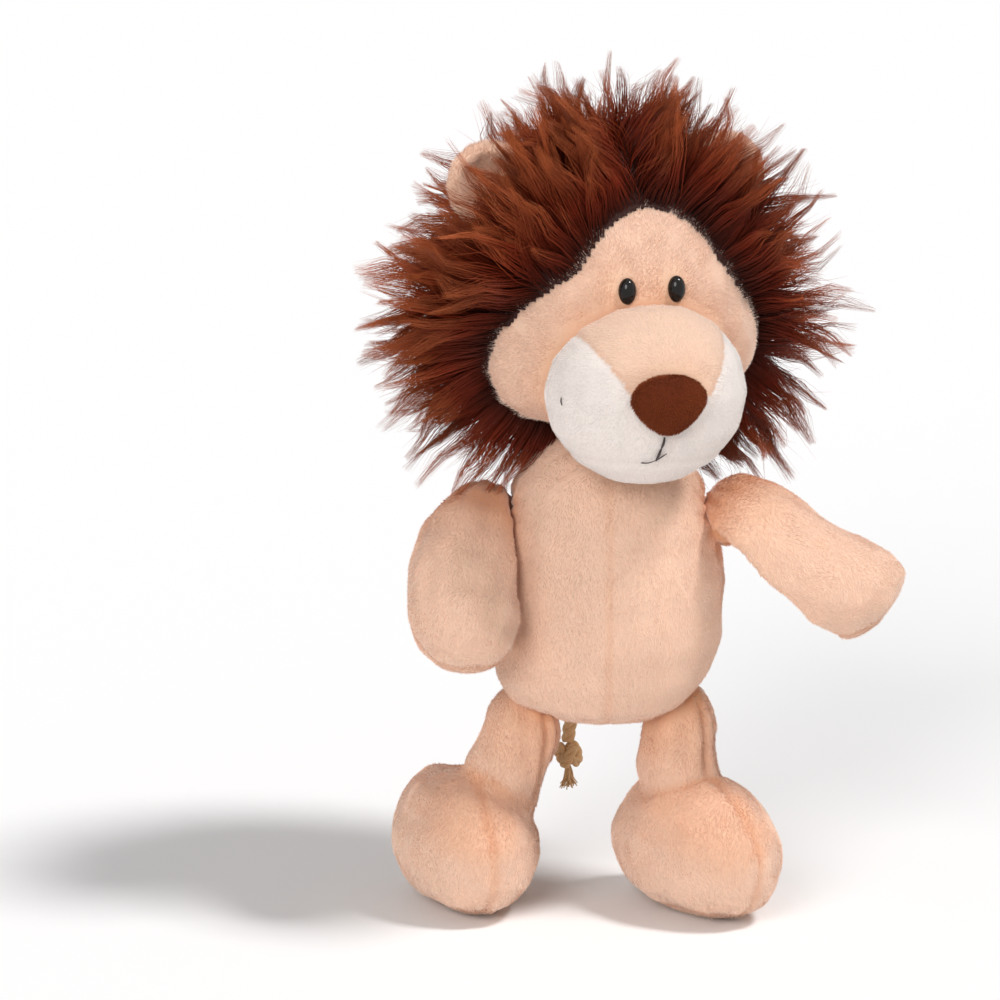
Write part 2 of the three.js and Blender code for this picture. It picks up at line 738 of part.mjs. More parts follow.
function makeMane() {
  const envelope = pod(maneForm, 0);
  envelope.rotateX(Math.PI / 2);
  envelope.translate(0, maneBack, headMiddle.z);
  const cutters = [solid(headShape(fit)), solid(faceOpening()), solid(muzzleShape(fit)), ...neckRoom()];
  for (const hand of [-1, 1]) cutters.push(solid(earShape(hand, fit)));
  cutters.push(solid(rootBall(neckBall, fit, new THREE.Vector3())));
  cutters.push(halfSpace(new THREE.Vector3(0, 0, -maneUnderside), new THREE.Vector3(0, 0, -1)));
  const hair = cut(solid(envelope), cutters);
  const [left, right] = partAlong(hair, new THREE.Vector3(), xAxis);
  for (const [side, half] of [['left', left], ['right', right]]) {
    const [nape, round] = partAlong(half, new THREE.Vector3(0, napeBack, 0), yAxis);
    const [crown, cheek] = partAlong(round, new THREE.Vector3(0, 0, headMiddle.z + crownRise), zAxis);
    add(head, `mane_crown_${side}`, crown, fur);
    add(head, `mane_side_${side}`, cheek, fur);
    add(head, `mane_nape_${side}`, nape, fur);
  }
}

// Tail: a rope that leaves the back of the torso and hangs to its knot and frayed end
function torsoBack(across, height) {
  const widest = swellAt(torsoForm, (height - torsoBottom) / torsoHeight);
  return torsoDepthShare * Math.sqrt(widest ** 2 - across ** 2);
}

const tailHeight = torsoBottom + tailRise;
const exit = new THREE.Vector3(tailAside, torsoBack(tailAside, tailHeight), tailHeight);
const backAt = (height) => new THREE.Vector3(0, torsoBack(tailAside, height), height);
const upTheBack = backAt(tailHeight + ropeDiameter / 2).sub(backAt(tailHeight - ropeDiameter / 2));
const tailOut = upTheBack.cross(xAxis).normalize();

function makeTail() {
  const points = tailRoute.map((place) => new THREE.Vector3(...place).add(exit));
  const route = new THREE.CatmullRomCurve3(points);
  const round = new THREE.Shape();
  round.absarc(0, 0, ropeDiameter / 2, 0, 2 * Math.PI);
  const run = { steps: ropeSteps, curveSegments: ropeSides / 2, extrudePath: route };
  const strand = new THREE.ExtrudeGeometry(round, run);
  add(lion, 'tail_rope', cut(solid(strand), [solid(torsoShape(fit))]), rope);
  const end = points.at(-1);
  const knotForm = { length: knotLength, radii: [knotRadius, knotRadius, knotRadius], fullness: 2.2 };
  const knot = pod(knotForm, 0, smallMesh);
  knot.translate(end.x, end.y, end.z - fit - knotLength);
  add(lion, 'tail_knot', solid(knot), rope);
  const outline = [[0, 0], [tasselRadius, 0], [ropeDiameter / 2, tasselLength], [0, tasselLength]];
  const profile = outline.map((place) => new THREE.Vector2(...place));
  const tassel = new THREE.LatheGeometry(profile, tasselStrands * 2);
  tassel.rotateX(Math.PI / 2);
  tassel.translate(end.x, end.y, end.z - fit - knotLength - fit - tasselLength);
  add(lion, 'tail_tassel', solid(tassel), rope);
}

makeTorso();
makeTacks();
armPoses.forEach((pose, i) => makeArm(pose, shoulders[i]));
legPoses.forEach((pose, i) => {
  makeFoot(pose);
  makeLeg(pose, hips[i]);
});
makeHead();
makeEyes();
makeMuzzle();
makeNose();
makeEars();
makeMane();
makeTail();

// The origin is on the floor under the middle of the toy, the tail left out
lion.updateMatrixWorld(true);
const bounds = new THREE.Box3();
lion.traverse((item) => {
  if (item.isMesh && !item.name.startsWith('tail')) bounds.expandByObject(item, true);
});
const middle = bounds.getCenter(new THREE.Vector3());
lion.position.set(-middle.x, -middle.y, 0);
lion.updateMatrixWorld(true);

// Joint pivots and axes in the finished frame
lion.userData.pivots = Object.fromEntries(
  joints.map((joint) => [joint.name, joint.pivot.clone().add(lion.position).toArray()]),
);
lion.userData.pivots.tail = exit.clone().add(lion.position).toArray();
lion.userData.axes = {
  shoulder_lift: armPoses.map((pose) => yAxis.clone().applyMatrix4(armTurn(pose, pose.swing, 0)).toArray()),
  tail: tailOut.toArray(),
};

export default lion;
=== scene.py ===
# %% [markdown]
# # A plush lion, dressed piece by piece
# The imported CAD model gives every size, place and joint. This lesson turns its plain solids into
# soft goods: sewn plush forms with pile, a long-haired mane in pointed locks, safety eyes, thread
# stitches and a twisted rope tail. Everything is in metres, and the lion faces -Y.

import json
import math

import bpy
import numpy as np
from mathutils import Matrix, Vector
from mathutils.bvhtree import BVHTree


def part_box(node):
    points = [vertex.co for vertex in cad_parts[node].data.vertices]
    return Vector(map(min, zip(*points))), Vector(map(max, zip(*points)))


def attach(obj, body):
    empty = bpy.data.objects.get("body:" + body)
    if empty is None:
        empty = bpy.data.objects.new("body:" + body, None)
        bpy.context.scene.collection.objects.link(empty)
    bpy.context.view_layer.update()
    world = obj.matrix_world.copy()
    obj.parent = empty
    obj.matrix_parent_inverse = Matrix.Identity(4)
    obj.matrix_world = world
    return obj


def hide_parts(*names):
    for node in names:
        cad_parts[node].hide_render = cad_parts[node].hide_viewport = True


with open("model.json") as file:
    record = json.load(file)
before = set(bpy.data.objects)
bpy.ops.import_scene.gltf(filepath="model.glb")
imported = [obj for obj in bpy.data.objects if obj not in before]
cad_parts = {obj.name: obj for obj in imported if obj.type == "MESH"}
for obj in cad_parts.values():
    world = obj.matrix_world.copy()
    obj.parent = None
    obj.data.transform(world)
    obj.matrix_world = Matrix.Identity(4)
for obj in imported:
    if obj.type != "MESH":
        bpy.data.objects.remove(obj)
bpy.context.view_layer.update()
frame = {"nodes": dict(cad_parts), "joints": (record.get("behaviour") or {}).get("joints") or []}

# %% [markdown]
# ## The camera
# The photograph looks slightly down at the toy. A long lens keeps the perspective as mild as it is
# there: 150 mm on a 36 mm sensor sees 0.3 m at 1.24 m.

# %% Camera
mm = 0.001
pivots = {joint["name"]: np.array(joint["pos_m"]) for joint in frame["joints"]}
neck = pivots["neck_turn"]
aim = Vector(neck) + Vector((-32.1, 0, -24.4)) * mm
elevation = math.radians(12)
distance = 1.24

camera = bpy.data.objects.new("camera", bpy.data.cameras.new("camera"))
camera.data.lens = 150
camera.data.sensor_width = 36
camera.location = aim + distance * Vector((0, -math.cos(elevation), math.sin(elevation)))
camera.rotation_euler = (math.pi / 2 - elevation, 0, 0)
bpy.context.scene.collection.objects.link(camera)
bpy.context.scene.camera = camera
print("camera at", [round(x, 3) for x in camera.location])

# %% [markdown]
# ## Small helpers
# A colour is written as the hex value that a paint program shows, and one function turns it into
# the linear numbers that Blender works in. `add` puts one node into a tree with its settings and
# links, for materials and for Geometry Nodes alike. `piece` makes an object from points and faces.

# %% Helpers
def paint(hex_value):
    channels = [((hex_value >> shift) & 255) / 255 for shift in (16, 8, 0)]
    linear = [c / 12.92 if c <= 0.04045 else ((c + 0.055) / 1.055) ** 2.4 for c in channels]
    return (*linear, 1.0)


def add(tree, kind, links=None, **settings):
    node = tree.nodes.new(kind)
    for name, value in settings.items():
        setattr(node, name, value)
    for key, value in (links or {}).items():
        if isinstance(value, bpy.types.NodeSocket):
            tree.links.new(value, node.inputs[key])
        else:
            node.inputs[key].default_value = value
    return node


def piece(name, points, faces):
    mesh = bpy.data.meshes.new(name)
    mesh.from_pydata([tuple(p) for p in points], [], [tuple(f) for f in faces])
    mesh.polygons.foreach_set("use_smooth", [True] * len(mesh.polygons))
    made = bpy.data.objects.new(name, mesh)
    bpy.context.scene.collection.objects.link(made)
    return made


def joined(parts):
    """The points and faces of several meshes as one."""
    points, faces, start = [], [], 0
    for made, sides in parts:
        points.append(made)
        faces += [tuple(start + corner for corner in face) for face in sides]
        start += len(made)
    return np.vstack(points), faces


def rows_of(layer, field):
    flat = np.zeros(len(layer) * 3)
    layer.foreach_get(field, flat)
    return flat.reshape(-1, 3)


def points_of(thing):
    return rows_of(thing.data.vertices, "co")


def normals_of(thing):
    return rows_of(thing.data.vertex_normals, "vector")


def move_points(thing, points):
    thing.data.vertices.foreach_set("co", np.asarray(points).ravel())
    thing.data.update()


def pushed(thing, amount):
    """Moves each point out along its normal by its amount."""
    move_points(thing, points_of(thing) + normals_of(thing) * amount[:, None])


def mark(thing, name, values, kind="FLOAT"):
    """Stores one value per point, for the node trees to read."""
    layer = thing.data.attributes.get(name) or thing.data.attributes.new(name, kind, "POINT")
    field = "vector" if kind == "FLOAT_VECTOR" else "value"
    layer.data.foreach_set(field, np.asarray(values).ravel())


def unit(vectors):
    return vectors / np.maximum(np.linalg.norm(vectors, axis=-1, keepdims=True), 1e-9)


def laid_flat(ways, normals):
    """Directions without their part across the skin."""
    return ways - normals * (ways * normals).sum(1, keepdims=True)


def rising(values, start, run):
    """0 up to the start, 1 past the run, and even between."""
    return np.clip((values - start) / run, 0, 1)


def falling(values, end, run):
    """1 until a run before the end, 0 past it, and even between."""
    return np.clip((end - values) / run, 0, 1)


def dressed(thing, body, nodes):
    """Says which body carries a piece and which solids it stands for."""
    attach(thing, body)
    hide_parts(*nodes)
    print(thing.name, len(thing.data.polygons), "faces")


print("blush peach in linear numbers:", [round(c, 3) for c in paint(0xEFC9AF)])

# %% [markdown]
# ## The rope tail
# The tail is a short piece of twisted cotton rope, sewn into the seat. It leaves the back square to
# the cloth, bends down under its weight and ends in an overhand knot with a frayed end. A rope's
# look is its lay: three strands wound round one line. Each strand is a tube along a helix. The
# route is the same list of points as in the CAD source.

# %% The tail's route
rope_diameter = 4.3 * mm
tail_exit = pivots["tail_swing"]
route = np.array([
    (0, 0, 0), (0, 1.3, -0.7), (0, 2.6, -1.4), (0, 3.9, -2.1), (-0.1, 5.8, -3.4),
    (-0.3, 7.5, -5.1), (-0.7, 8.8, -7.2), (-1.3, 9.6, -9.6), (-2.1, 9.9, -12.2), (-3, 9.9, -14.6),
    (-3.9, 9.9, -16.9), (-4.8, 9.9, -19.1), (-5.5, 9.9, -21.3), (-6, 9.9, -23.6),
    (-6.3, 9.9, -26), (-6.4, 9.9, -28.5),
]) * mm + tail_exit


def reach_along(line):
    """How far along the line each of its points lies."""
    return np.concatenate([[0], np.cumsum(np.linalg.norm(np.diff(line, axis=0), axis=1))])


print("the rope runs", round(1000 * reach_along(route)[-1], 1), "mm")


# %% Strands wound round a line
def spline_through(points, count):
    """Catmull-Rom points at even steps along a list of points."""
    padded = np.vstack([2 * points[0] - points[1], points, 2 * points[-1] - points[-2]])
    fine = []
    for a, b, c, d in zip(padded, padded[1:], padded[2:], padded[3:]):
        for t in np.linspace(0, 1, 24, endpoint=False):
            fine.append(0.5 * (2 * b + (c - a) * t + (2 * a - 5 * b + 4 * c - d) * t ** 2
                               + (3 * b - a - 3 * c + d) * t ** 3))
    fine = np.array([*fine, points[-1]])
    reach = reach_along(fine)
    even = np.linspace(0, reach[-1], count)
    return np.stack([np.interp(even, reach, fine[:, axis]) for axis in range(3)], axis=1)


def frames_along(line):
    """A side and an up direction at each point, carried along the line without twisting."""
    ahead = unit(np.gradient(line, axis=0))
    side = unit(np.cross(ahead[0], (1.0, 0.3, 0.2)))
    sides = []
    for direction in ahead:
        side = unit(side - direction * np.dot(side, direction))
        sides.append(side)
    sides = np.array(sides)
    return sides, np.cross(ahead, sides)


def ring_round(turn, across, up):
    return np.cos(turn)[..., None] * across + np.sin(turn)[..., None] * up


def tube(line, radii, sides):
    """Points and faces of a closed tube along a line."""
    across, up = frames_along(line)
    turn = np.linspace(0, 2 * math.pi, sides, endpoint=False)[None]
    rings = line[:, None] + radii[:, None, None] * ring_round(turn, across[:, None], up[:, None])
    faces = []
    for i in range(len(line) - 1):
        for j in range(sides):
            a, b = i * sides + j, i * sides + (j + 1) % sides
            faces.append((a, b, b + sides, a + sides))
    last = (len(line) - 1) * sides
    faces.append(tuple(reversed(range(sides))))
    faces.append(tuple(range(last, last + sides)))
    return rings.reshape(-1, 3), faces


def laid_rope(line, diameter, lay_length, closed_ends=True):
    """Three strands wound round a line, thinner at their ends where the rope is closed."""
    across, up = frames_along(line)
    radii = np.full(len(line), diameter * 0.27)
    if closed_ends:
        radii[[0, -1]] *= 0.6
    strands = []
    for strand in range(3):
        turn = 2 * math.pi * (reach_along(line) / lay_length + strand / 3)
        path = line + diameter * 0.235 * ring_round(turn, across, up)
        strands.append(tube(path, radii, 10))
    return joined(strands)


tail_line = spline_through(route, 110)
tail_rope = piece("tail_rope_laid", *laid_rope(tail_line, rope_diameter, 9 * mm))
print("tail rope:", len(tail_rope.data.polygons), "faces")

# %% The knot and the frayed end
knot_strand = 3.2 * mm
knot_low, knot_high = (np.array(corner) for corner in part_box("tail_knot"))
turn = np.linspace(0, 2 * math.pi, 130)
loop = np.stack([
    np.sin(turn) + 1.6 * np.sin(2 * turn),
    np.cos(turn) - 1.6 * np.cos(2 * turn),
    -1.25 * np.sin(3 * turn),
], axis=1)
loop_size = (knot_high - knot_low - knot_strand) / (loop.max(0) - loop.min(0))
knot_line = (knot_low + knot_high) / 2 + loop * loop_size
tail_knot = piece("tail_knot_laid", *laid_rope(knot_line, knot_strand, 7 * mm, closed_ends=False))

rng = np.random.default_rng(7)
yarn_count = 46
in_knot = 1.5 * mm
fray_low, fray_high = (np.array(corner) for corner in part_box("tail_tassel"))
fray_top = np.array([*((fray_low + fray_high) / 2)[:2], fray_high[2] + in_knot])
shares = np.linspace(0, 1, 7)[:, None]
yarns = []
for yarn in range(yarn_count):
    angle = rng.uniform(0, 2 * math.pi)
    spread = rng.uniform(0.3, 3.4) * mm
    foot = np.array([spread * math.cos(angle), spread * math.sin(angle), 0])
    foot[2] = -(fray_high[2] - fray_low[2] + in_knot) * rng.uniform(0.75, 1.0)
    bow = np.array([math.cos(angle + 1), math.sin(angle + 1), 0]) * rng.normal(0, 0.5) * mm
    line = fray_top + foot * shares * [0.55, 0.55, 1] + foot * shares ** 3 * [0.45, 0.45, 0]
    yarns.append(tube(line + bow * np.sin(math.pi * shares), np.linspace(0.42, 0.16, 7) * mm, 5))
tail_fray = piece("tail_frayed_end", *joined(yarns))
print("frayed end:", len(tail_fray.data.polygons), "faces")

for thing, node in ((tail_rope, "tail_rope"), (tail_knot, "tail_knot"), (tail_fray, "tail_tassel")):
    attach(thing, "tail")
    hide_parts(node)

# %% [markdown]
# ## One soft form from sewn panels
# A plush limb is cut from panels, turned and stuffed, so its panels swell into one round form. The
# CAD solids have flat facets and gaps. A voxel remesh melts copies of them into one closed skin,
# and smoothing takes the steps away. Sculpting by hand would look the same, but would lose the
# sizes. Small holes that the remesh leaves inside are dropped: only the largest shell stays.

# %% Melt solids into one skin
def baked(thing):
    """Turns what the modifiers show into the object's own mesh."""
    depsgraph = bpy.context.evaluated_depsgraph_get()
    depsgraph.update()
    shown = bpy.data.meshes.new_from_object(thing.evaluated_get(depsgraph))
    thing.modifiers.clear()
    thing.data = shown
    return thing


def solids_of(nodes):
    meshes = [frame["nodes"][node].data for node in nodes]
    return joined([(rows_of(mesh.vertices, "co"), [face.vertices for face in mesh.polygons])
                   for mesh in meshes])


def largest_shell(thing):
    """Spreads the lowest number along the edges, and keeps the shell that most points share."""
    edges = np.zeros(len(thing.data.edges) * 2, int)
    thing.data.edges.foreach_get("vertices", edges)
    first, second = edges.reshape(-1, 2).T
    label = np.arange(len(thing.data.vertices))
    while True:
        lowest = np.minimum(label[first], label[second])
        before = label.copy()
        np.minimum.at(label, first, lowest)
        np.minimum.at(label, second, lowest)
        label = label[label]
        if (label == before).all():
            break
    kept = label == np.bincount(label).argmax()
    if kept.all():
        return
    numbers = np.cumsum(kept) - 1
    faces = [tuple(numbers[corner] for corner in face.vertices)
             for face in thing.data.polygons if kept[face.vertices[0]]]
    mesh = bpy.data.meshes.new(thing.name)
    mesh.from_pydata([tuple(p) for p in points_of(thing)[kept]], [], faces)
    thing.data = mesh


def melted(name, nodes, grain, rounds):
    thing = piece(name, *solids_of(nodes))
    melt = thing.modifiers.new("melt", "REMESH")
    melt.mode = "VOXEL"
    melt.voxel_size = grain
    calm = thing.modifiers.new("calm", "SMOOTH")
    calm.factor = 0.5
    calm.iterations = rounds
    largest_shell(baked(thing))
    thing.data.polygons.foreach_set("use_smooth", [True] * len(thing.data.polygons))
    return thing


# %% [markdown]
# ## Stuffing and seams
# Wadding never lies quite evenly, so each form gets low lumps: a few sums of sines, far cheaper
# than a cloth simulation for shapes that are already full. Where two panels meet, the seam pulls
# the cloth in. The distance of a point to both panels tells how near the seam is, and the skin
# sinks there. Where a limb is tied to the body the cloth gathers in small folds that fan out from
# the tie.

# %% Lumps, seams and gathers
def lumps(points, size, seed):
    """A smooth uneven field between about -1 and 1, with waves of the given size."""
    noise = np.random.default_rng(seed)
    waves = unit(noise.normal(size=(9, 3))) * (2 * math.pi / size) * noise.uniform(0.6, 1.5, (9, 1))
    return np.sin(points @ waves.T + noise.uniform(0, 6, 9)).sum(1) / 4


def stirring(points, size, seeds):
    """Three fields of lumps as one field of directions."""
    return np.stack([lumps(points, size, seed) for seed in seeds], axis=1)


def tree_of(nodes):
    return BVHTree.FromPolygons(*[list(part) for part in solids_of(nodes)])


def distance_to(points, nodes):
    tree = tree_of(nodes)
    return np.array([tree.find_nearest(Vector(point))[3] for point in points])


def sewn(thing, panels, depth, width):
    """Sinks the seams between panels. Returns how near a seam each point is, and its panel."""
    reach = np.array([distance_to(points_of(thing), [panel]) for panel in panels])
    near = np.sort(reach, axis=0)
    line = np.exp(-((near[1] - near[0]) / width) ** 2)
    pushed(thing, -depth * line)
    return line, reach.argmin(0)


def gathered(thing, centre, axis, radius, folds, depth, reach):
    """Folds that fan out from where a limb is tied. Returns how near the tie each point is."""
    axis = unit(np.array(axis, float))
    side = unit(np.cross(axis, (0.3, 0.5, 0.81)))
    offset = points_of(thing) - centre
    angle = np.arctan2(offset @ np.cross(axis, side), offset @ side)
    away = np.linalg.norm(offset, axis=1) - radius
    near = np.exp(-np.clip(away, 0, None) / reach)
    wave = np.sin(folds * angle + 2 * np.sin(2 * angle)) - 0.4
    pushed(thing, depth * near * wave)
    return near


# %% [markdown]
# ## Words for node trees
# Pile, fur and finishes use the same few nodes again and again, so each gets a short name. The
# first group is for arithmetic and stored values, the second for materials.

# %% Short names for nodes
def sums(tree, operation, first, second):
    return add(tree, "ShaderNodeMath", {0: first, 1: second}, operation=operation).outputs[0]


def vector(tree, operation, first, other=None):
    """SCALE takes a number as the other, ADD and SUBTRACT a vector, and NORMALIZE none."""
    links = {0: first}
    if other is not None:
        links["Scale" if operation == "SCALE" else 1] = other
    return add(tree, "ShaderNodeVectorMath", links, operation=operation).outputs[0]


def chance(tree, low, high, seed):
    return add(tree, "FunctionNodeRandomValue", {2: low, 3: high, 8: seed},
               data_type="FLOAT").outputs[1]


def any_way(tree, seed, most):
    """A random vector that reaches no further than the given length along each axis."""
    way = add(tree, "FunctionNodeRandomValue", {0: (-1, -1, -1), 1: (1, 1, 1), 8: seed},
              data_type="FLOAT_VECTOR")
    return vector(tree, "SCALE", way.outputs[0], most)


def ranged(tree, value, low, high, at_low, at_high):
    return add(tree, "ShaderNodeMapRange",
               {0: value, 1: low, 2: high, 3: at_low, 4: at_high}).outputs[0]


def named(tree, name, kind="FLOAT"):
    return add(tree, "GeometryNodeInputNamedAttribute", {"Name": name}, data_type=kind).outputs[0]


def stored(tree, geometry, name, value, kind="FLOAT"):
    return add(tree, "GeometryNodeStoreNamedAttribute",
               {"Geometry": geometry, "Name": name, "Value": value},
               data_type=kind, domain="POINT").outputs[0]


def between(tree, share, first, second):
    return add(tree, "ShaderNodeMix", {0: share, 4: first, 5: second},
               data_type="VECTOR").outputs[1]


def new_tree(name, inputs, output):
    tree = bpy.data.node_groups.new(name, "GeometryNodeTree")
    for label, kind in inputs.items():
        tree.interface.new_socket(label, in_out="INPUT", socket_type=f"NodeSocket{kind}")
    tree.interface.new_socket(output, in_out="OUTPUT", socket_type="NodeSocketGeometry")
    return tree, tree.nodes.new("NodeGroupInput").outputs


def ended(tree, geometry, finish):
    """Sets the material on what the tree made, and ends the tree."""
    dyed = add(tree, "GeometryNodeSetMaterial", {"Geometry": geometry, "Material": finish})
    add(tree, "NodeGroupOutput", {0: dyed.outputs[0]})
    return tree


def new_finish(name, roughness, specular=None):
    finish = bpy.data.materials.new(name)
    finish.use_nodes = True
    shader = finish.node_tree.nodes["Principled BSDF"]
    shader.inputs["Roughness"].default_value = roughness
    if specular is not None:
        shader.inputs["Specular IOR Level"].default_value = specular
    return finish, finish.node_tree, shader


def attribute(tree, name):
    return add(tree, "ShaderNodeAttribute", attribute_name=name).outputs["Fac"]


def noise(tree, scale, detail=2.0):
    """Noise that keeps its place on the object."""
    place = add(tree, "ShaderNodeTexCoord").outputs["Object"]
    return add(tree, "ShaderNodeTexNoise",
               {"Vector": place, "Scale": scale, "Detail": detail}).outputs["Fac"]


def colours(tree, share, first, second):
    return add(tree, "ShaderNodeMix", {0: share, 6: first, 7: second}, data_type="RGBA").outputs[2]


def clouded(tree, shader, dark, light, scale, detail=2.0):
    """Colours a finish between two colours by noise, and returns the noise."""
    cloud = noise(tree, scale, detail)
    tree.links.new(colours(tree, cloud, paint(dark), paint(light)), shader.inputs["Base Color"])
    return cloud


def toned(tree, shader, colour, patches, most, darkest, lightest):
    """Colours a finish, darker and lighter by the stored `tone` and by patches."""
    shift = sums(tree, "ADD", attribute(tree, "tone"), patches)
    value = ranged(tree, shift, 0.3, most, darkest, lightest)
    coloured = add(tree, "ShaderNodeHueSaturation", {"Color": colour, "Value": value})
    tree.links.new(coloured.outputs[0], shader.inputs["Base Color"])


def bumpy(tree, shader, height, distance, strength=1.0):
    bump = add(tree, "ShaderNodeBump",
               {"Height": height, "Distance": distance, "Strength": strength})
    tree.links.new(bump.outputs[0], shader.inputs["Normal"])


# %% [markdown]
# ## Plush pile
# The cloth is a short minky: fibres about a millimetre long that lie over one another. Hair
# particles would be lost in the export, so Geometry Nodes scatter thin three-sided spikes over the
# skin and realize them as mesh. Each spike leans along the nap, the stored attribute `comb`. `pile`
# is 0 where cloth is pressed against a neighbour, and there no spikes grow. `fluff` makes them
# longer.

# %% The pile tree
def pile_tree():
    tree, given = new_tree("plush pile", {
        "Skin": "Geometry", "Density": "Float", "Length": "Float", "Width": "Float",
        "Lean": "Float", "Seed": "Int", "Finish": "Material"}, "Plush")
    number = sums(tree, "MULTIPLY", given["Density"], named(tree, "pile"))
    roots = add(tree, "GeometryNodeDistributePointsOnFaces",
                {"Mesh": given["Skin"], "Density": number, "Seed": given["Seed"]},
                distribute_method="RANDOM")
    # A spike points out of the skin, along the nap and a little astray
    leaning = vector(tree, "SCALE", named(tree, "comb", "FLOAT_VECTOR"), given["Lean"])
    combed = vector(tree, "ADD", roots.outputs["Normal"], leaning)
    growing = vector(tree, "ADD", combed, any_way(tree, given["Seed"], 0.38))
    turned = add(tree, "FunctionNodeAlignRotationToVector", {"Vector": growing}, axis="Z")
    marked_roots = stored(tree, roots.outputs["Points"], "tone", chance(tree, 0.0, 1.0, 5))
    spike = add(tree, "GeometryNodeMeshCone",
                {"Vertices": 3, "Radius Top": 0.0, "Radius Bottom": 1.0, "Depth": 1.0},
                fill_type="NONE")
    place = add(tree, "GeometryNodeInputPosition").outputs[0]
    height = add(tree, "ShaderNodeSeparateXYZ", {0: place}).outputs["Z"]
    marked = stored(tree, spike.outputs["Mesh"], "along", height)
    fluffed = sums(tree, "ADD", named(tree, "fluff"), 1.0)
    full = sums(tree, "MULTIPLY", fluffed, given["Length"])
    long = sums(tree, "MULTIPLY", chance(tree, 0.65, 1.2, 9), full)
    size = add(tree, "ShaderNodeCombineXYZ", {0: given["Width"], 1: given["Width"], 2: long})
    spikes = add(tree, "GeometryNodeInstanceOnPoints",
                 {"Points": marked_roots, "Instance": marked, "Rotation": turned.outputs[0],
                  "Scale": size.outputs[0]})
    real = add(tree, "GeometryNodeRealizeInstances", {"Geometry": spikes.outputs[0]})
    both = add(tree, "GeometryNodeJoinGeometry", {"Geometry": real.outputs[0]})
    tree.links.new(given["Skin"], both.inputs[0])
    return ended(tree, both.outputs[0], given["Finish"])


pile_nodes = pile_tree()
print("pile tree:", len(pile_nodes.nodes), "nodes")


# %% Grow a tree's geometry on a skin
def grown(thing, tree, **values):
    """Runs a Geometry Nodes tree on an object with the named inputs, and keeps the mesh."""
    live = thing.modifiers.new(tree.name, "NODES")
    live.node_group = tree
    for item in tree.interface.items_tree:
        if item.in_out == "INPUT" and item.name in values:
            live[item.identifier] = values[item.name]
    return baked(thing)


def brushed(thing, direction):
    """Stores the nap: the given direction, stirred a little and laid flat on the skin."""
    stirred = stirring(points_of(thing), 11 * mm, (41, 42, 43))
    flow = unit(np.array(direction, float)) + 0.55 * stirred
    mark(thing, "comb", unit(laid_flat(flow, normals_of(thing))), "FLOAT_VECTOR")


# %% [markdown]
# ## The plush finishes
# Peach minky looks deeper and more orange where one looks down into the pile, in folds and at
# seams, and paler where the tips catch the light. That light and shade are painted into the colour.
# It runs from a deeper root to a paler tip along each spike, as painted shade down in the pile and
# painted light on the tips. It also turns orange with a stored value of painted shade for folds,
# seams and parts that meet. A faint sheen stands for the fibre tips that are too fine to model, and
# slow noise for cloth that was brushed a little to and fro.

# %% Peach, blush and white plush
def plush_finish(name, root, tip, painted_shade, brushed_mm=7.0, second=None, sheen=0.6):
    """Cut-pile polyester, with a second set of colours where the stored `white` is 1."""
    # Worn fibre scatters the light widely: high roughness, and soft sheen at the edges
    finish, tree, shader = new_finish(name, 0.85, 0.2)
    shader.inputs["Sheen Weight"].default_value = sheen
    shader.inputs["Sheen Roughness"].default_value = 0.45

    # Painted shade at the roots, painted light at the tips, and orange painted shade in folds and
    # at seams
    def pile_colour(root, tip, painted_shade):
        blend = colours(tree, attribute(tree, "along"), paint(root), paint(tip))
        return colours(tree, attribute(tree, "painted_shade"), blend, paint(painted_shade))

    colour = pile_colour(root, tip, painted_shade)
    if second:
        colour = colours(tree, attribute(tree, "white"), colour, pile_colour(*second))
    # Brushing: slow patches a few millimetres wide, where the pile leans another way
    toned(tree, shader, colour, noise(tree, 1000 / brushed_mm, 3.0), 1.5, 0.93, 1.05)
    # The ground of the pile: 0.5 mm grain
    bumpy(tree, shader, noise(tree, 2000.0), 0.0002, 0.5)
    return finish


# Root, tip and crease colours: painted shade, painted light and orange painted shade
peach = plush_finish("peach minky plush", 0xEFC9AF, 0xF8E1D2, 0xE6AA82)
muzzle_finish = plush_finish("peach and white minky plush", 0xECC9B0, 0xF6E0D2, 0xE6B390, 7.0,
                             (0xF0E6E0, 0xFBF5F1, 0xE4D6CD))
print("plush finishes:", peach.name, "and", muzzle_finish.name)

# %% [markdown]
# ## The torso
# The torso is a pear of two panels with one seam down the belly. It rides on the root body, and
# stands for its panels, its wadding and the pellet bag. The neck, arms and legs are tied to it, so
# the cloth gathers round the limbs, and the pile stays away from the places that they press on.

# %% Torso
grain = 1.3 * mm
thinning = 1.0
down = (0, 0, -1)
hands = {"right": -1, "left": 1}
arm_nodes = {side: [f"arm_{part}_{side}" for part in ("front", "back", "filling")]
             for side in hands}
leg_nodes = {side: [f"leg_{part}_{side}" for part in ("outer", "inner", "filling")]
             for side in hands}
foot_nodes = {side: [f"foot_{part}_{side}" for part in ("outer", "inner", "sole", "filling")]
              for side in hands}
head_nodes = ["face_panel", "head_back_panel", "head_filling"]
torso_nodes = ["torso_panel_left", "torso_panel_right", "torso_filling", "torso_pellet_bag"]


def pressed(thing, nodes, clear=1.5 * mm, full=4.5 * mm):
    """Stores `pile`: 0 where the cloth lies against a neighbour, 1 away from it."""
    near = distance_to(points_of(thing), nodes)
    mark(thing, "pile", rising(near, clear, full - clear))
    return near


def blob(points, centre, radius):
    """1 at the centre, and fading away from it."""
    return np.exp(-((points - centre) ** 2).sum(1) / radius ** 2)


torso = melted("torso_plush", torso_nodes, grain, 8)
points = points_of(torso)
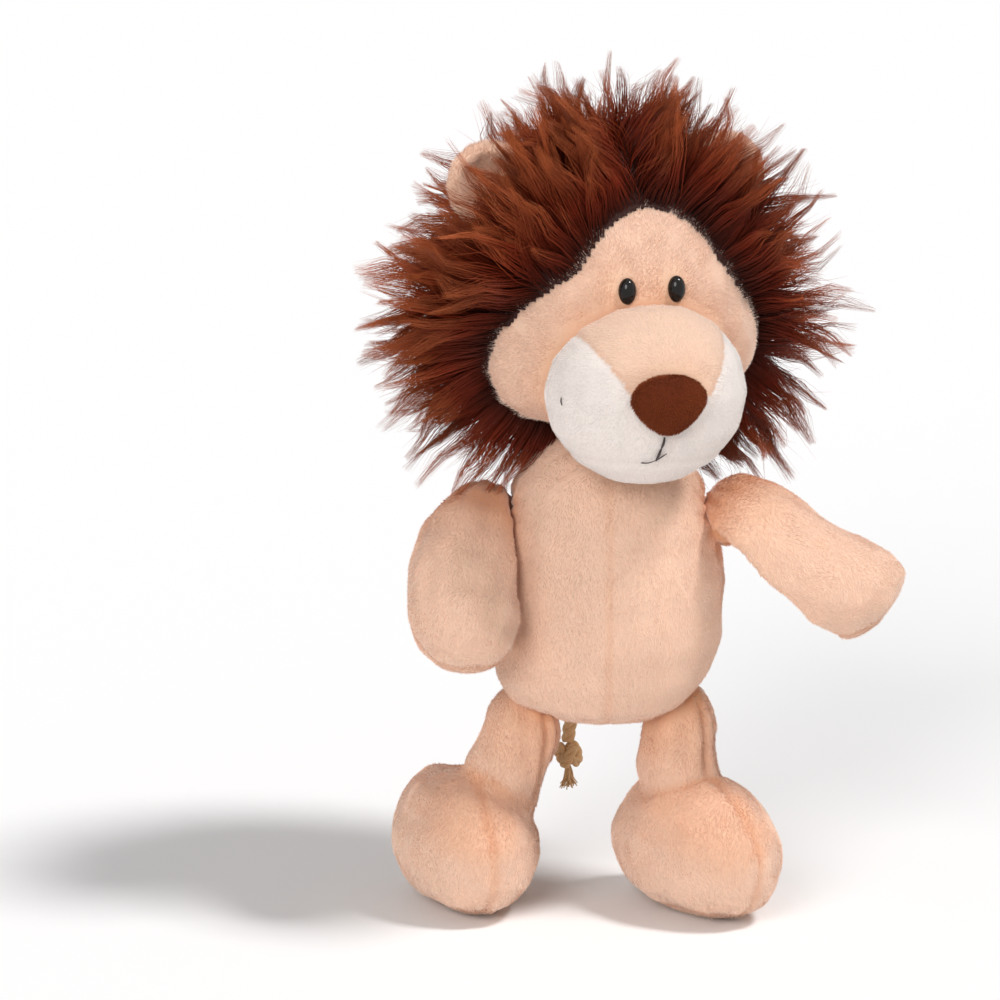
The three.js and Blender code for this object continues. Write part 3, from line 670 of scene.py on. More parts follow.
# The seat is drawn up a little over the legs, and bulges out on the right, below the paw
points[:, 2] += 0.05 * np.clip(points[:, 2].min() + 42 * mm - points[:, 2], 0, None)
seat = np.array((-31 * mm, -4 * mm, points[:, 2].min() + 11 * mm))
points[:, 0] -= 4.5 * mm * blob(points, seat, 13 * mm)
move_points(torso, points)
pushed(torso, 0.5 * mm * lumps(points_of(torso), 19 * mm, 3))
seam = sewn(torso, ["torso_panel_left", "torso_panel_right"], 0.35 * mm, 1.2 * mm)[0]
# Painted shade: the colour turns orange at the belly seam, round the ties of the limbs, and where
# the limbs and head lie against the torso
painted_shade = 0.25 * seam
for side, hand in hands.items():
    tie = pivots[f"shoulder_swing_{side}"]
    painted_shade += 0.5 * gathered(torso, tie, (hand, 0, 0.3), 13 * mm, 11, 0.5 * mm, 3 * mm)
    hip = pivots[f"hip_swing_{side}"]
    painted_shade += 0.4 * gathered(torso, hip, (0, 0, 1), 12 * mm, 9, 0.4 * mm, 2.5 * mm)
near_neighbour = pressed(torso, [*arm_nodes["right"], *arm_nodes["left"], *leg_nodes["right"],
                                 *leg_nodes["left"], *head_nodes, "muzzle_chin"])
painted_shade += 0.6 * np.exp(-near_neighbour / (3.5 * mm))
mark(torso, "painted_shade", np.clip(painted_shade, 0, 1))
brushed(torso, down)
grown(torso, pile_nodes, Density=3.2e6 * thinning, Length=1.15 * mm, Width=0.1 * mm, Lean=2.2,
      Seed=1, Finish=peach)
dressed(torso, "torso", torso_nodes)

# %% [markdown]
# ## Arms
# Each arm is a sausage of a front and a back panel, tied at the shoulder, thick towards the paw.
# The nap runs from the shoulder to the paw, so the comb follows the line between the two.

# %% Arms
def middle_of(nodes):
    corners = np.array([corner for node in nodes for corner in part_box(node)])
    return (corners.min(0) + corners.max(0)) / 2


fullness = {"right": 0.05, "left": 0.5}
for side in hands:
    nodes = arm_nodes[side]
    arm = melted(f"arm_{side}_plush", nodes, grain, 5)
    points = points_of(arm)
    tie = pivots[f"shoulder_swing_{side}"]
    if side == "right":
        # The hanging paw bunches up a little
        points[:, 2] += 0.09 * np.clip(tie[2] - points[:, 2], 0, None)
    toward_paw = middle_of(nodes) - tie
    along_arm = unit(toward_paw)
    # The root is full, where the wadding is pushed against the tie, but less so below, so that
    # the arm can still hang beside the torso
    run = (points - tie) @ along_arm
    across_arm = points - tie - run[:, None] * along_arm
    under = rising(-across_arm[:, 2], 0, 8 * mm)
    full = fullness[side] * (1 - 0.55 * under) * np.exp(-((run - 5 * mm) / (18 * mm)) ** 2)
    points += full[:, None] * across_arm
    move_points(arm, points)
    pushed(arm, 0.45 * mm * lumps(points_of(arm), 15 * mm, 11))
    seam = sewn(arm, nodes[:2], 0.8 * mm, 1.6 * mm)[0]
    # Painted shade: orange at the seam and round the tie, painted shadow of the mane on the arm's
    # root, and painted shade where the arm lies against the torso and head
    painted_shade = 0.35 * seam + 0.6 * gathered(arm, tie, toward_paw, 14 * mm, 10, 0.5 * mm, 4 * mm)
    painted_shade += 0.4 * np.exp(-np.clip((points_of(arm) - tie) @ along_arm, 0, None) / (13 * mm))
    painted_shade += 0.8 * np.exp(-pressed(arm, [*torso_nodes, *head_nodes]) / (4 * mm))
    mark(arm, "painted_shade", np.clip(painted_shade, 0, 1))
    brushed(arm, toward_paw)
    grown(arm, pile_nodes, Density=4.2e6 * thinning, Length=1.15 * mm, Width=0.09 * mm, Lean=2.2,
          Seed=2, Finish=peach)
    dressed(arm, f"arm_{side}", nodes)

# %% [markdown]
# ## Legs and feet
# A leg is a short tube that is sewn into the instep of a fat foot. The foot's upper has a seam down
# its middle, and the leg one down its front, and the two are sewn to each other in a crease. The
# tops of the feet look more orange, because one looks down into the pile there. That is painted
# into their colour as painted shade, along with painted shade at the seams and in the creases.

# %% Legs and feet
foot_middle = {side: middle_of(foot_nodes[side]) for side in hands}
toe_out = {"right": math.radians(16), "left": math.radians(33)}
ankle_side = {"right": 10 * mm, "left": 4 * mm}
half_foot = 32 * mm
axle_height = 20.5 * mm
box_power = 3.6
shaft_shift = 1.8 * mm


def rounded_foot(points, side):
    """Rounds heel and toe off to an egg, and draws the top of the leg up against the torso."""
    points = points.copy()
    hand = hands[side]
    hip = pivots[f"hip_swing_{side}"]
    toe = np.array((math.sin(toe_out[side]), -math.cos(toe_out[side]), 0))
    across = np.array((toe[1], -toe[0], 0))
    offset = points - (*foot_middle[side][:2], axle_height)
    # The solid foot is boxy along its length: the egg's width, as a share of the box's
    reach = np.clip(np.abs(offset @ toe) / half_foot, 0, 0.97)
    egg = np.sqrt(1 - reach ** 2) / (1 - reach ** box_power) ** (1 / box_power)
    in_foot = falling(points[:, 2], 46 * mm, 10 * mm)
    narrower = ((0.97 * egg - 1) * in_foot * (offset @ across))[:, None] * across
    above = np.where(offset[:, 2] > 0, 1.0, 0.35)
    lower = ((egg - 1) * in_foot * above * offset[:, 2])[:, None] * (0, 0, 1)
    points += narrower + lower
    # The leg's top rises most on its outer side
    height = rising(points[:, 2], 42 * mm, 22 * mm)
    outer = np.clip(0.5 + hand * (points[:, 0] - hip[0]) / (24 * mm), 0, 1)
    points[:, 2] += height ** 2 * (2.5 + 4.5 * outer) * mm
    # The shaft is a little wider than the solid, and further right
    shaft = rising(points[:, 2], 30 * mm, 14 * mm)
    points[:, :2] += 0.09 * shaft[:, None] * (points[:, :2] - hip[:2])
    points[:, 0] -= shaft * shaft_shift
    # The instep swells round the outside of the ankle
    ankle = np.array((hip[0] - shaft_shift + hand * ankle_side[side], foot_middle[side][1] - 4 * mm,
                      37 * mm))
    swell = blob(points, ankle, 12 * mm)
    points += (swell * 4 * mm)[:, None] * np.array((0.55 * hand, -0.35, 0.75))
    return points


for side in hands:
    nodes = leg_nodes[side] + foot_nodes[side]
    leg = melted(f"leg_{side}_plush", nodes, grain, 9)
    rest = rounded_foot(points_of(leg), side)
    move_points(leg, rest)
    uneven = 0.4 * mm * lumps(rest, 16 * mm, 21) * (rest[:, 2] > 2 * mm)
    move_points(leg, rest + normals_of(leg) * uneven[:, None])
    seam, panel = sewn(leg, leg_nodes[side][:2] + foot_nodes[side][:3], 0.7 * mm, 1.4 * mm)
    near_hip = gathered(leg, pivots[f"hip_swing_{side}"], down, 12 * mm, 9, 0.6 * mm, 5 * mm)
    # Painted shade: more orange on the tops of the feet that face up and forward, at the seams,
    # round the tie and where the leg meets the torso
    # The first two panels are the leg's, and the others the foot's
    facing_up = np.clip(normals_of(leg) @ unit(np.array((0.0, -0.62, 0.78))), 0, 1)
    instep = rising(facing_up, 0.45, 0.4) * (panel >= 2)
    near_torso = distance_to(points_of(leg), torso_nodes)
    on_floor = rising(points_of(leg)[:, 2], 0, 2 * mm)
    mark(leg, "pile", rising(near_torso, 1.5 * mm, 3 * mm) * on_floor)
    painted_shade = 0.3 * seam + 0.3 * near_hip + 0.4 * instep + 0.55 * np.exp(-near_torso / (5 * mm))
    mark(leg, "painted_shade", np.clip(painted_shade, 0, 1))
    brushed(leg, (0, -0.6, -0.8))
    grown(leg, pile_nodes, Density=4.2e6 * thinning, Length=1.15 * mm, Width=0.09 * mm, Lean=2.2,
          Seed=3, Finish=peach)
    points = points_of(leg)
    points[:, 2] = np.maximum(points[:, 2], 0.0)
    move_points(leg, points)
    dressed(leg, f"leg_{side}", nodes)

# %% [markdown]
# ## The head's own directions
# The head is turned 18 degrees towards its left on the neck. Its parts are easier to place in a
# frame of its own, with the face looking along -Y and the neck at zero, so two small functions turn
# points into that frame and back.

# %% Head frame
head_turn = math.radians(18)
head_axes = np.array([
    (math.cos(head_turn), math.sin(head_turn), 0),
    (-math.sin(head_turn), math.cos(head_turn), 0),
    (0, 0, 1.0),
])


def in_head(points):
    return (np.asarray(points) - neck) @ head_axes.T


def from_head(points):
    return np.asarray(points) @ head_axes + neck


# The bell-shaped edge of the face: its right and left reach at heights above the neck, and how far
# back the cheeks go below the temples
bell = np.array([
    (-60, 60, 30), (-37.6, 39.5, 32.4), (-36, 38.5, 34), (-34.8, 36.5, 36.8), (-31.6, 33, 40),
    (-27.7, 30.6, 43), (-24.1, 28.2, 46.1), (-18.8, 25.7, 49.4), (-16.5, 23.2, 53.2),
    (-13.9, 20.4, 57.1), (-10.7, 16.8, 60.4), (-6.6, 12.5, 63.2), (-2.2, 8, 65), (2.8, 3.2, 66.2),
]) * mm
cheek_back = np.array([
    (1, -20), (0, 2), (-4.8, 11.6), (-6.7, 16.8), (-10.5, 22.7), (-13.3, 27.9), (-15.9, 32.4),
    (-15.9, 33),
]) * mm


def inside_bell(local):
    """How far inside the face's edge a point lies, in metres, negative in the hair."""
    across, depth, height = local.T
    edge = np.minimum(across - np.interp(height, bell[:, 2], bell[:, 0]),
                      np.interp(height, bell[:, 2], bell[:, 1]) - across)
    edge = np.minimum(edge, bell[-1, 2] - height)
    behind = np.interp(height, cheek_back[:, 1], cheek_back[:, 0]) - depth
    return np.where(height < cheek_back[-1, 1], np.minimum(edge, behind), edge)


print("the top of the face is", round(1000 * bell[-1, 2], 1), "mm above the neck")

# %% [markdown]
# ## Face
# The head is one stuffed ball with peach plush in front, and its cheeks bulge past the ball. Its
# pile fans out from the muzzle, and is longest at the edge, where it makes a soft fringe over the
# roots of the fur.

# %% Face
muzzle_nodes = ["muzzle_bridge", "muzzle_cheek_left", "muzzle_cheek_right", "muzzle_chin",
                "muzzle_filling"]
face = melted("face_plush", head_nodes, grain, 8)
local = in_head(points_of(face))
swell = np.zeros(len(local))
for cheek, proud in (((-37, -12, 12), 1.6), ((38, -16, 18), 3.4)):
    swell += proud * mm * blob(local, np.array(cheek) * mm, 15 * mm)
swell += 0.4 * mm * lumps(points_of(face), 18 * mm, 31)
pushed(face, swell)
face_points = points_of(face)
local = in_head(face_points)
edge = inside_bell(local)
is_face = (edge > -1.5 * mm) & (local[:, 1] < 6 * mm)
near_muzzle = distance_to(face_points, [*muzzle_nodes, *torso_nodes])
near_eye = distance_to(face_points, ["eye_right", "eye_left"])
room = np.minimum(near_muzzle, near_eye + 0.6 * mm)
mark(face, "pile", rising(room, 1 * mm, 2 * mm) * is_face)
# Painted shade: more orange round the muzzle and round the eyes
painted_shade = 0.6 * np.exp(-near_muzzle / (4 * mm)) + 0.3 * np.exp(-near_eye / (3 * mm))
mark(face, "painted_shade", np.clip(painted_shade, 0, 1))
mark(face, "fluff", 0.7 * np.clip(1 - edge / (6 * mm), 0, 1))
fan = unit(local * (1, 0, 1) - (0, 0, 22 * mm)) + (0, 0, -0.2)
flat = unit(laid_flat(fan @ head_axes, normals_of(face)))
mark(face, "comb", unit(flat + 0.4 * stirring(face_points, 9 * mm, (44, 45, 46))), "FLOAT_VECTOR")
scalp_source = face.copy()
scalp_source.data = face.data.copy()
grown(face, pile_nodes, Density=5.5e6 * thinning, Length=1.3 * mm, Width=0.09 * mm, Lean=1.9,
      Seed=4, Finish=peach)
dressed(face, "head", ["face_panel", "head_filling"])

# %% [markdown]
# ## Muzzle
# The muzzle is a stuffed egg of four panels: a peach bridge that narrows from between the eyes to
# the nose, two white cheeks and a white chin. Whether a point is on a white panel is stored, and
# the material reads it to change from peach to white.

# %% Muzzle
muzzle = melted("muzzle_plush", muzzle_nodes, (0.95) * mm, 26)
seam, panel = sewn(muzzle, muzzle_nodes[:4], 0.35 * mm, 1.2 * mm)
points = points_of(muzzle)
near_nose = distance_to(points, ["nose"])
near_face = distance_to(points, ["face_panel"])
behind = in_head(points)[:, 1] > -16 * mm
# The first panel is the peach bridge
mark(muzzle, "white", (panel > 0).astype(float))
# Painted shade: darker round the nose and at the seams
mark(muzzle, "painted_shade", np.clip(0.5 * np.exp(-near_nose / (3.5 * mm)) + 0.25 * seam, 0, 1))
mark(muzzle, "pile", rising(np.minimum(near_face, near_nose), 0.8 * mm, 2 * mm) * ~behind)
outward = (in_head(points) - in_head([middle_of(["nose"])])) * (1, 0, 1)
normals = normals_of(muzzle)
flat = unit(laid_flat((unit(outward) + (0, 0.5, -0.4)) @ head_axes, normals))
mark(muzzle, "comb", flat - normals * 0.3, "FLOAT_VECTOR")
grown(muzzle, pile_nodes, Density=5e6 * thinning, Length=0.9 * mm, Width=0.1 * mm, Lean=2.0, Seed=5,
      Finish=muzzle_finish)
dressed(muzzle, "head", muzzle_nodes)

# %% [markdown]
# ## Nose
# The nose is a stuffed oval of brown velour, wider at the top. Velour has a dense pile well under a
# millimetre long: enough to soften the outline, so it gets its own very short spikes.

# %% Nose
# Velour colours; the near-black third colour is painted shade where the nose meets the muzzle
nose_finish = plush_finish("brown velour", 0x64280E, 0x9A4C20, 0x3C180A, 3.0, sheen=0.0)
nose = melted("nose_velour", ["nose"], (0.5) * mm, 10)
nose_middle = middle_of(["nose"])
nose_shift = (-2.4 * mm, 0, -1.1 * mm)
offset = points_of(nose) - nose_middle
# Wide over the nostrils, narrow below
offset[:, :2] *= (1.04 - 0.2 * falling(offset[:, 2], 1 * mm, 8 * mm))[:, None]
settled = offset + from_head([nose_shift])[0] - neck
move_points(nose, settled + nose_middle)
mark(nose, "pile", np.ones(len(nose.data.vertices)))
# Painted shade: darker where the nose meets the muzzle
mark(nose, "painted_shade", 0.6 * np.exp(-distance_to(points_of(nose), ["muzzle_filling"]) / (2.2 * mm)))
brushed(nose, down)
grown(nose, pile_nodes, Density=9e6 * thinning, Length=0.7 * mm, Width=0.09 * mm, Lean=0.8, Seed=6,
      Finish=nose_finish)
dressed(nose, "head", ["nose"])

# %% [markdown]
# ## Ears
# Each ear is a flat round pocket of two peach panels. A dish in its front and a seam round its rim
# make it look turned and lightly stuffed.

# %% Ears
ear_radius = 13.5 * mm
dish_depth = 3.2 * mm
for side in hands:
    nodes = [f"ear_front_{side}", f"ear_back_{side}"]
    ear = melted(f"ear_{side}_plush", nodes, (0.9) * mm, 5)
    local = in_head(points_of(ear))
    middle = (local.min(0) + local.max(0)) / 2
    radius = np.linalg.norm((local - middle)[:, [0, 2]], axis=1) / ear_radius
    front = local[:, 1] < middle[1]
    local[:, 1] += front * dish_depth * np.clip(1 - (radius / 0.72) ** 2, 0, 1)
    move_points(ear, from_head(local))
    sewn(ear, nodes, 0.4 * mm, 1.2 * mm)
    near_head = pressed(ear, head_nodes, clear=1 * mm, full=3 * mm)
    # Painted shade: more orange in the front dish and where the ear meets the head
    painted_shade = 0.3 * front * np.clip(1 - radius, 0, 1) + 0.4 * np.exp(-near_head / (4 * mm))
    mark(ear, "painted_shade", np.clip(painted_shade, 0, 1))
    brushed(ear, (0, 0, 1))
    grown(ear, pile_nodes, Density=5.5e6 * thinning, Length=1.2 * mm, Width=0.09 * mm, Lean=1.7,
          Seed=7, Finish=peach)
    dressed(ear, "head", nodes)

# %% [markdown]
# ## Eyes
# Safety eyes are moulded in one piece of black plastic: an oval dome on a shank, pushed through the
# cloth and locked by a washer inside. The dome shows, so it is spun finely. A low roughness gives a
# sharp reflection, and a low specular level keeps the white room in it dim, so the eye stays black
# and the lamp shows in it as one small bright spot.

# %% Eyes
eye_finish, tree, shader = new_finish("gloss black plastic", 0.08, 0.3)
# Moulded black with the faintest brown cloud, some 2 mm wide
clouded(tree, shader, 0x080605, 0x150D0A, 500.0)


def oval_dome(middle, half_sizes, rings=22, around=40):
    """A closed oval with its poles at the front and the back."""
    points, faces = [middle + (0, -half_sizes[1], 0)], []
    for i in range(1, rings):
        polar = math.pi * (i / rings)
        for j in range(around):
            angle = 2 * math.pi * j / around
            points.append(middle + np.array((
                half_sizes[0] * math.sin(polar) * math.cos(angle),
                -half_sizes[1] * math.cos(polar),
                half_sizes[2] * math.sin(polar) * math.sin(angle))))
    points.append(middle + (0, half_sizes[1], 0))
    last = len(points) - 1
    for j in range(around):
        after = (j + 1) % around
        faces.append((0, 1 + j, 1 + after))
        for i in range(rings - 2):
            a, b = 1 + i * around + j, 1 + i * around + after
            faces.append((a, a + around, b + around, b))
        foot = 1 + (rings - 2) * around
        faces.append((last, foot + after, foot + j))
    return points, faces


for side, hand in hands.items():
    local = in_head(solids_of([f"eye_{side}"])[0])
    middle = np.array(((hand * 7.5 + 1.2) * mm, local[:, 1].min() + 2.6 * mm, 43.8 * mm))
    made, faces = oval_dome(middle, np.array((2.6, 2.6, 3.9)) * mm)
    eye = piece(f"eye_{side}_dome", from_head(made), faces)
    eye.data.materials.append(eye_finish)
    dressed(eye, "head", [f"eye_{side}"])

# %% [markdown]
# ## The mane
# The mane is long-pile fur on a brown backing cloth. Its hairs run together in pointed locks, and a
# few stray from them. Each hair is a curve from its root on the scalp to a tip. The tips of all the
# hairs near one lock's centre are drawn to the same point, which is what makes a lock. Every piece
# of the fur grows on its own part of the scalp, as the six gores are sewn.

# %% Scalp
def part_of(thing, name, kept):
    """A new object with the faces whose corners are all kept, and its points' old numbers."""
    faces = [list(face.vertices) for face in thing.data.polygons
             if all(kept[corner] for corner in face.vertices)]
    used = sorted({corner for face in faces for corner in face})
    number = {corner: i for i, corner in enumerate(used)}
    renumbered = [[number[corner] for corner in face] for face in faces]
    return piece(name, points_of(thing)[used], renumbered), used


local = in_head(points_of(scalp_source))
above_neck = local[:, 2] > -6 * mm
hair_here = (inside_bell(local) < 1 * mm) | (local[:, 1] > 4 * mm)
behind_jaw = (local[:, 1] > -17 * mm) | (local[:, 2] > 12 * mm)
has_hair = hair_here & above_neck & behind_jaw
scalp = part_of(scalp_source, "scalp_backing", has_hair)[0]
cloth = scalp.modifiers.new("cloth", "SOLIDIFY")
cloth.thickness = 0.8 * mm
cloth.offset = 1.0
baked(scalp)
scalp_finish, tree, shader = new_finish("knitted fur backing", 0.95)
# The backing cloth with a 1 mm knit, which shows only in the partings; its near-black colour is
# painted shade for the depth between the roots
knit = clouded(tree, shader, 0x1C0805, 0x3A140B, 1000.0)
bumpy(tree, shader, knit, 0.0003)
scalp.data.materials.append(scalp_finish)
dressed(scalp, "head", ["head_back_panel"])

# %% [markdown]
# ## How the hair lies
# Seen from the front the fur fans out round the face, with a parting above the forehead, and droops
# a little at the sides. Behind the ears it lies back and falls to the nape, and round the ears it
# is trimmed. Slow waves bring whole strands together. The direction and the length are worked out
# per point of the scalp and stored on it.

# %% Fur direction and length
def lay_of_fur(local, normals):
    across, depth, height = local.T
    fan = unit((local - np.array((0, 0, 26)) * mm) * (1, 0, 1))
    back_share = rising(depth, -6 * mm, 40 * mm)[:, None]
    top = rising(height, 50 * mm, 24 * mm)[:, None]
    side = rising(np.abs(across), 0, 36 * mm)[:, None] * (1 - top)
    front = fan + normals * 0.25 + side * np.array((0, 0.15, -0.28))
    behind = normals * 0.75 + np.array((0, 0.4, -0.5)) + fan * top * 0.7
    flow = front * (1 - back_share) + behind * back_share
    parting = np.exp(-np.abs(across) / (13 * mm))[:, None] * top * (1 - back_share)
    away = np.stack([0.8 * np.sign(across), 0 * across, 0 * across], axis=1)
    flow = unit(flow) + parting * away
    return unit(unit(flow) + 0.3 * stirring(local, 15 * mm, (51, 52, 53)))


def jowl_of(local):
    """1 on the left jaw, where the fur hangs longer and thicker, and 0 elsewhere."""
    across, depth, height = local.T
    in_front = 1 - rising(depth, 4 * mm, 30 * mm)
    return rising(across, 0, 20 * mm) * falling(height, 30 * mm, 20 * mm) * in_front


def length_of_fur(local, near_ear):
    depth, height = local.T[1:]
    high = rising(height, 45 * mm, 35 * mm)
    low = falling(height, 12 * mm, 20 * mm)
    back = rising(depth, 4 * mm, 30 * mm)
    in_front = falling(depth, 4 * mm, 10 * mm)
    trimmed = np.clip(0.3 + 0.15 * in_front + near_ear / (20 * mm), 0, 1)
    return (33 - 3.5 * high - 5 * low - 5 * back + 8 * jowl_of(local)) * trimmed * mm


# %% The fur tree
hair_points = 6
crimp_reach = 10.5 * mm


def fur_tree():
    tree, given = new_tree("fur in locks", {
        "Scalp": "Geometry", "Density": "Float", "Lock Spacing": "Float", "Width": "Float",
        "Clump": "Float", "Seed": "Int", "Finish": "Material"}, "Fur")
    sweep = named(tree, "sweep", "FLOAT_VECTOR")
    reach = named(tree, "reach")
    here = add(tree, "GeometryNodeInputPosition").outputs[0]

    def end_of(astray, shortest, longest, seed):
        """Where a hair or a lock ends, with a direction and a length of its own."""
        way = vector(tree, "NORMALIZE", vector(tree, "ADD", sweep, any_way(tree, seed, astray)))
        length = sums(tree, "MULTIPLY", reach, chance(tree, shortest, longest, seed + 1))
        return vector(tree, "ADD", here, vector(tree, "SCALE", way, length)), length

    # Lock centres, and the point where each lock ends
    centres = add(tree, "GeometryNodeDistributePointsOnFaces",
                  {"Mesh": given["Scalp"], "Distance Min": given["Lock Spacing"],
                   "Density Max": 90000.0, "Seed": given["Seed"]}, distribute_method="POISSON")
    lock_end, lock_length = end_of(0.3, 0.5, 1.14, 11)
    with_ends = stored(tree, centres.outputs["Points"], "lock_end", lock_end, "FLOAT_VECTOR")
    locks = stored(tree, with_ends, "lock_tone", chance(tree, 0.0, 1.0, 13))

    # Roots, each with its own tip, drawn towards its lock's end
    number = sums(tree, "MULTIPLY", named(tree, "thick"), given["Density"])
    roots = add(tree, "GeometryNodeDistributePointsOnFaces",
                {"Mesh": given["Scalp"], "Density": number, "Seed": given["Seed"]},
                distribute_method="RANDOM")
    nearest = add(tree, "GeometryNodeSampleNearest", {"Geometry": locks, "Sample Position": here},
                  domain="POINT")

    def of_lock(name, kind):
        """What the nearest lock has stored."""
        value = named(tree, name, kind)
        return add(tree, "GeometryNodeSampleIndex",
                   {"Geometry": locks, "Value": value, "Index": nearest.outputs[0]},
                   data_type=kind, domain="POINT").outputs[0]

    own_end, own_length = end_of(0.32, 0.6, 1.0, 21)
    # Most hairs keep to their lock, and one in ten strays
    held = ranged(tree, chance(tree, 0.0, 1.0, 23), 0.9, 1.0, 1.0, 0.15)
    drawn = sums(tree, "MULTIPLY", held, given["Clump"])
    tip = between(tree, drawn, own_end, of_lock("lock_end", "FLOAT_VECTOR"))

    # The middle of the curve stands up from the skin first, so the hair bows over
    lifted = vector(tree, "SCALE", roots.outputs["Normal"], 0.6)
    upward = vector(tree, "NORMALIZE", vector(tree, "ADD", lifted, sweep))
    rise = vector(tree, "SCALE", upward, sums(tree, "MULTIPLY", own_length, 0.5))
    bow = vector(tree, "ADD", here, rise)

    kept = roots.outputs["Points"]
    for name, value in (("root", here), ("bow", bow), ("tip", tip)):
        kept = stored(tree, kept, name, value, "FLOAT_VECTOR")
    kept = stored(tree, kept, "tone", of_lock("lock_tone", "FLOAT"))

    # A unit hair of five stretches stands on each root, then bends to its root, bow and tip
    line = add(tree, "GeometryNodeCurvePrimitiveLine", {"End": (0, 0, 1)})
    steps = add(tree, "GeometryNodeResampleCurve", {"Curve": line.outputs[0], "Count": hair_points})
    hairs = add(tree, "GeometryNodeInstanceOnPoints",
                {"Points": kept, "Instance": steps.outputs[0]})
    real = add(tree, "GeometryNodeRealizeInstances", {"Geometry": hairs.outputs[0]})
    share = add(tree, "GeometryNodeSplineParameter").outputs["Factor"]
    marked = stored(tree, real.outputs[0], "along", share)
    along = named(tree, "along")
    root, middle, end = [named(tree, name, "FLOAT_VECTOR") for name in ("root", "bow", "tip")]
    first, second = between(tree, along, root, middle), between(tree, along, middle, end)
    bent = between(tree, along, first, second)
    placed = add(tree, "GeometryNodeSetPosition", {"Geometry": marked, "Position": bent})
    # The hair is crimped: slow waves, 9 mm wide, that carry neighbouring hairs sideways together
    crimp = add(tree, "ShaderNodeTexNoise", {"Scale": 110.0, "Detail": 1.0})
    centred = vector(tree, "SUBTRACT", crimp.outputs["Color"], (0.5, 0.5, 0.5))
    aside = vector(tree, "SCALE", centred, sums(tree, "MULTIPLY", along, crimp_reach))
    crimped = add(tree, "GeometryNodeSetPosition", {"Geometry": placed.outputs[0], "Offset": aside})
    taper = ranged(tree, along, 0.3, 1.0, 1.0, 0.08)
    width = sums(tree, "MULTIPLY", taper, given["Width"])
    section = add(tree, "GeometryNodeCurvePrimitiveCircle", {"Resolution": 3, "Radius": 1.0})
    skin = add(tree, "GeometryNodeCurveToMesh",
               {"Curve": crimped.outputs[0], "Profile Curve": section.outputs[0], "Scale": width})
    return ended(tree, skin.outputs[0], given["Finish"])


fur_nodes = fur_tree()
print("fur tree:", len(fur_nodes.nodes), "nodes")

# %% [markdown]
# ## Fur colour
# The fur is dyed a red brown. Little light gets in between the roots, so the colour is painted
# nearly black there as painted shade, and warmer towards the tips, and whole locks differ a little.
# A soft gloss gives the silky streaks.

# %% Fur finish
# Silky acrylic hair: a soft but clear shine
fur_finish, tree, shader = new_finish("red-brown long pile fur", 0.45, 0.15)
# Root to tip, from near black to chestnut: the near black at the roots is painted shade
ramp = add(tree, "ShaderNodeValToRGB", {0: attribute(tree, "along")})
ramp.color_ramp.elements[0].color = paint(0x300C04)
ramp.color_ramp.elements[1].color = paint(0xAC5A32)
ramp.color_ramp.elements.new(0.45).color = paint(0x702510)
# Dye: lighter and darker bands, about 12 mm wide, besides each lock's own tone
toned(tree, shader, ramp.outputs[0], noise(tree, 80.0), 1.6, 0.65, 1.45)
print("fur finish:", len(tree.nodes), "nodes")

# %% Six gores of fur
normals = normals_of(scalp_source) @ head_axes.T
crown_height = 59 * mm
nape_depth = 17 * mm
overlap = 1.2 * mm
near_ear = distance_to(points_of(scalp_source),
                       [f"ear_{part}_{side}" for part in ("front", "back") for side in hands])
across, depth, height = local.T
gores = {}
for side, hand in hands.items():
    on_side = has_hair & (across * hand > -0.8 * mm)
    before_nape = on_side & (depth < nape_depth + overlap)
    gores[f"mane_nape_{side}"] = on_side & (depth > nape_depth)
    gores[f"mane_crown_{side}"] = before_nape & (height > crown_height)
    gores[f"mane_side_{side}"] = before_nape & (height < crown_height + overlap)
for number, (node, kept) in enumerate(gores.items()):
    gore, used = part_of(scalp_source, f"{node}_fur", kept)
    mark(gore, "sweep", lay_of_fur(local[used], normals[used]) @ head_axes, "FLOAT_VECTOR")
    mark(gore, "reach", length_of_fur(local[used], near_ear[used]))
    mark(gore, "thick", 1 + 1.6 * jowl_of(local[used]))
    grown(gore, fur_nodes, Density=1.85e6 * thinning, Width=0.13 * mm,
          Clump=0.9, Seed=number, Finish=fur_finish, **{"Lock Spacing": 2.3 * mm})
    dressed(gore, "head", [node])
bpy.data.objects.remove(scalp_source)

# %% [markdown]
# ## The mouth
# The mouth is embroidered: two dark backstitches run down from the nose along the chin's dart, and
# a thinner thread turns off to each side. A single short stitch sits on the right cheek. They are
# laid on the cloth by casting a ray at the muzzle's solids, which works from any side.

# %% Mouth stitches
thread_finish, tree, shader = new_finish("dark brown embroidery thread", 0.6)
shader.inputs["Sheen Weight"].default_value = 0.2
# Two plies, seen as streaks a fifth of a millimetre wide
clouded(tree, shader, 0x1A0F0B, 0x40302A, 5000.0)

muzzle_tree = tree_of(muzzle_nodes)
above_cloth = 0.9 * mm
stitch_points = 11


def on_muzzle(across, height):
    """The point of the muzzle's front at a place of the head, a little proud of the cloth."""
    start = from_head([(across, -90 * mm, height)])[0]
    hit = muzzle_tree.ray_cast(Vector(start), Vector(head_axes[1]))[0]
    return np.array(hit) - head_axes[1] * above_cloth


def stitch(places, thickness, proud):
    """One stitch of thread through places of the head, thicker in its middle."""
    run = spline_through(np.array([on_muzzle(x * mm, z * mm) for x, z in places]), stitch_points)
    bulge = np.sin(np.linspace(0.1, math.pi - 0.1, stitch_points))
    run = run - head_axes[1] * (proud * bulge)[:, None]
    return tube(run, (0.6 + 0.4 * bulge) * thickness, 8)


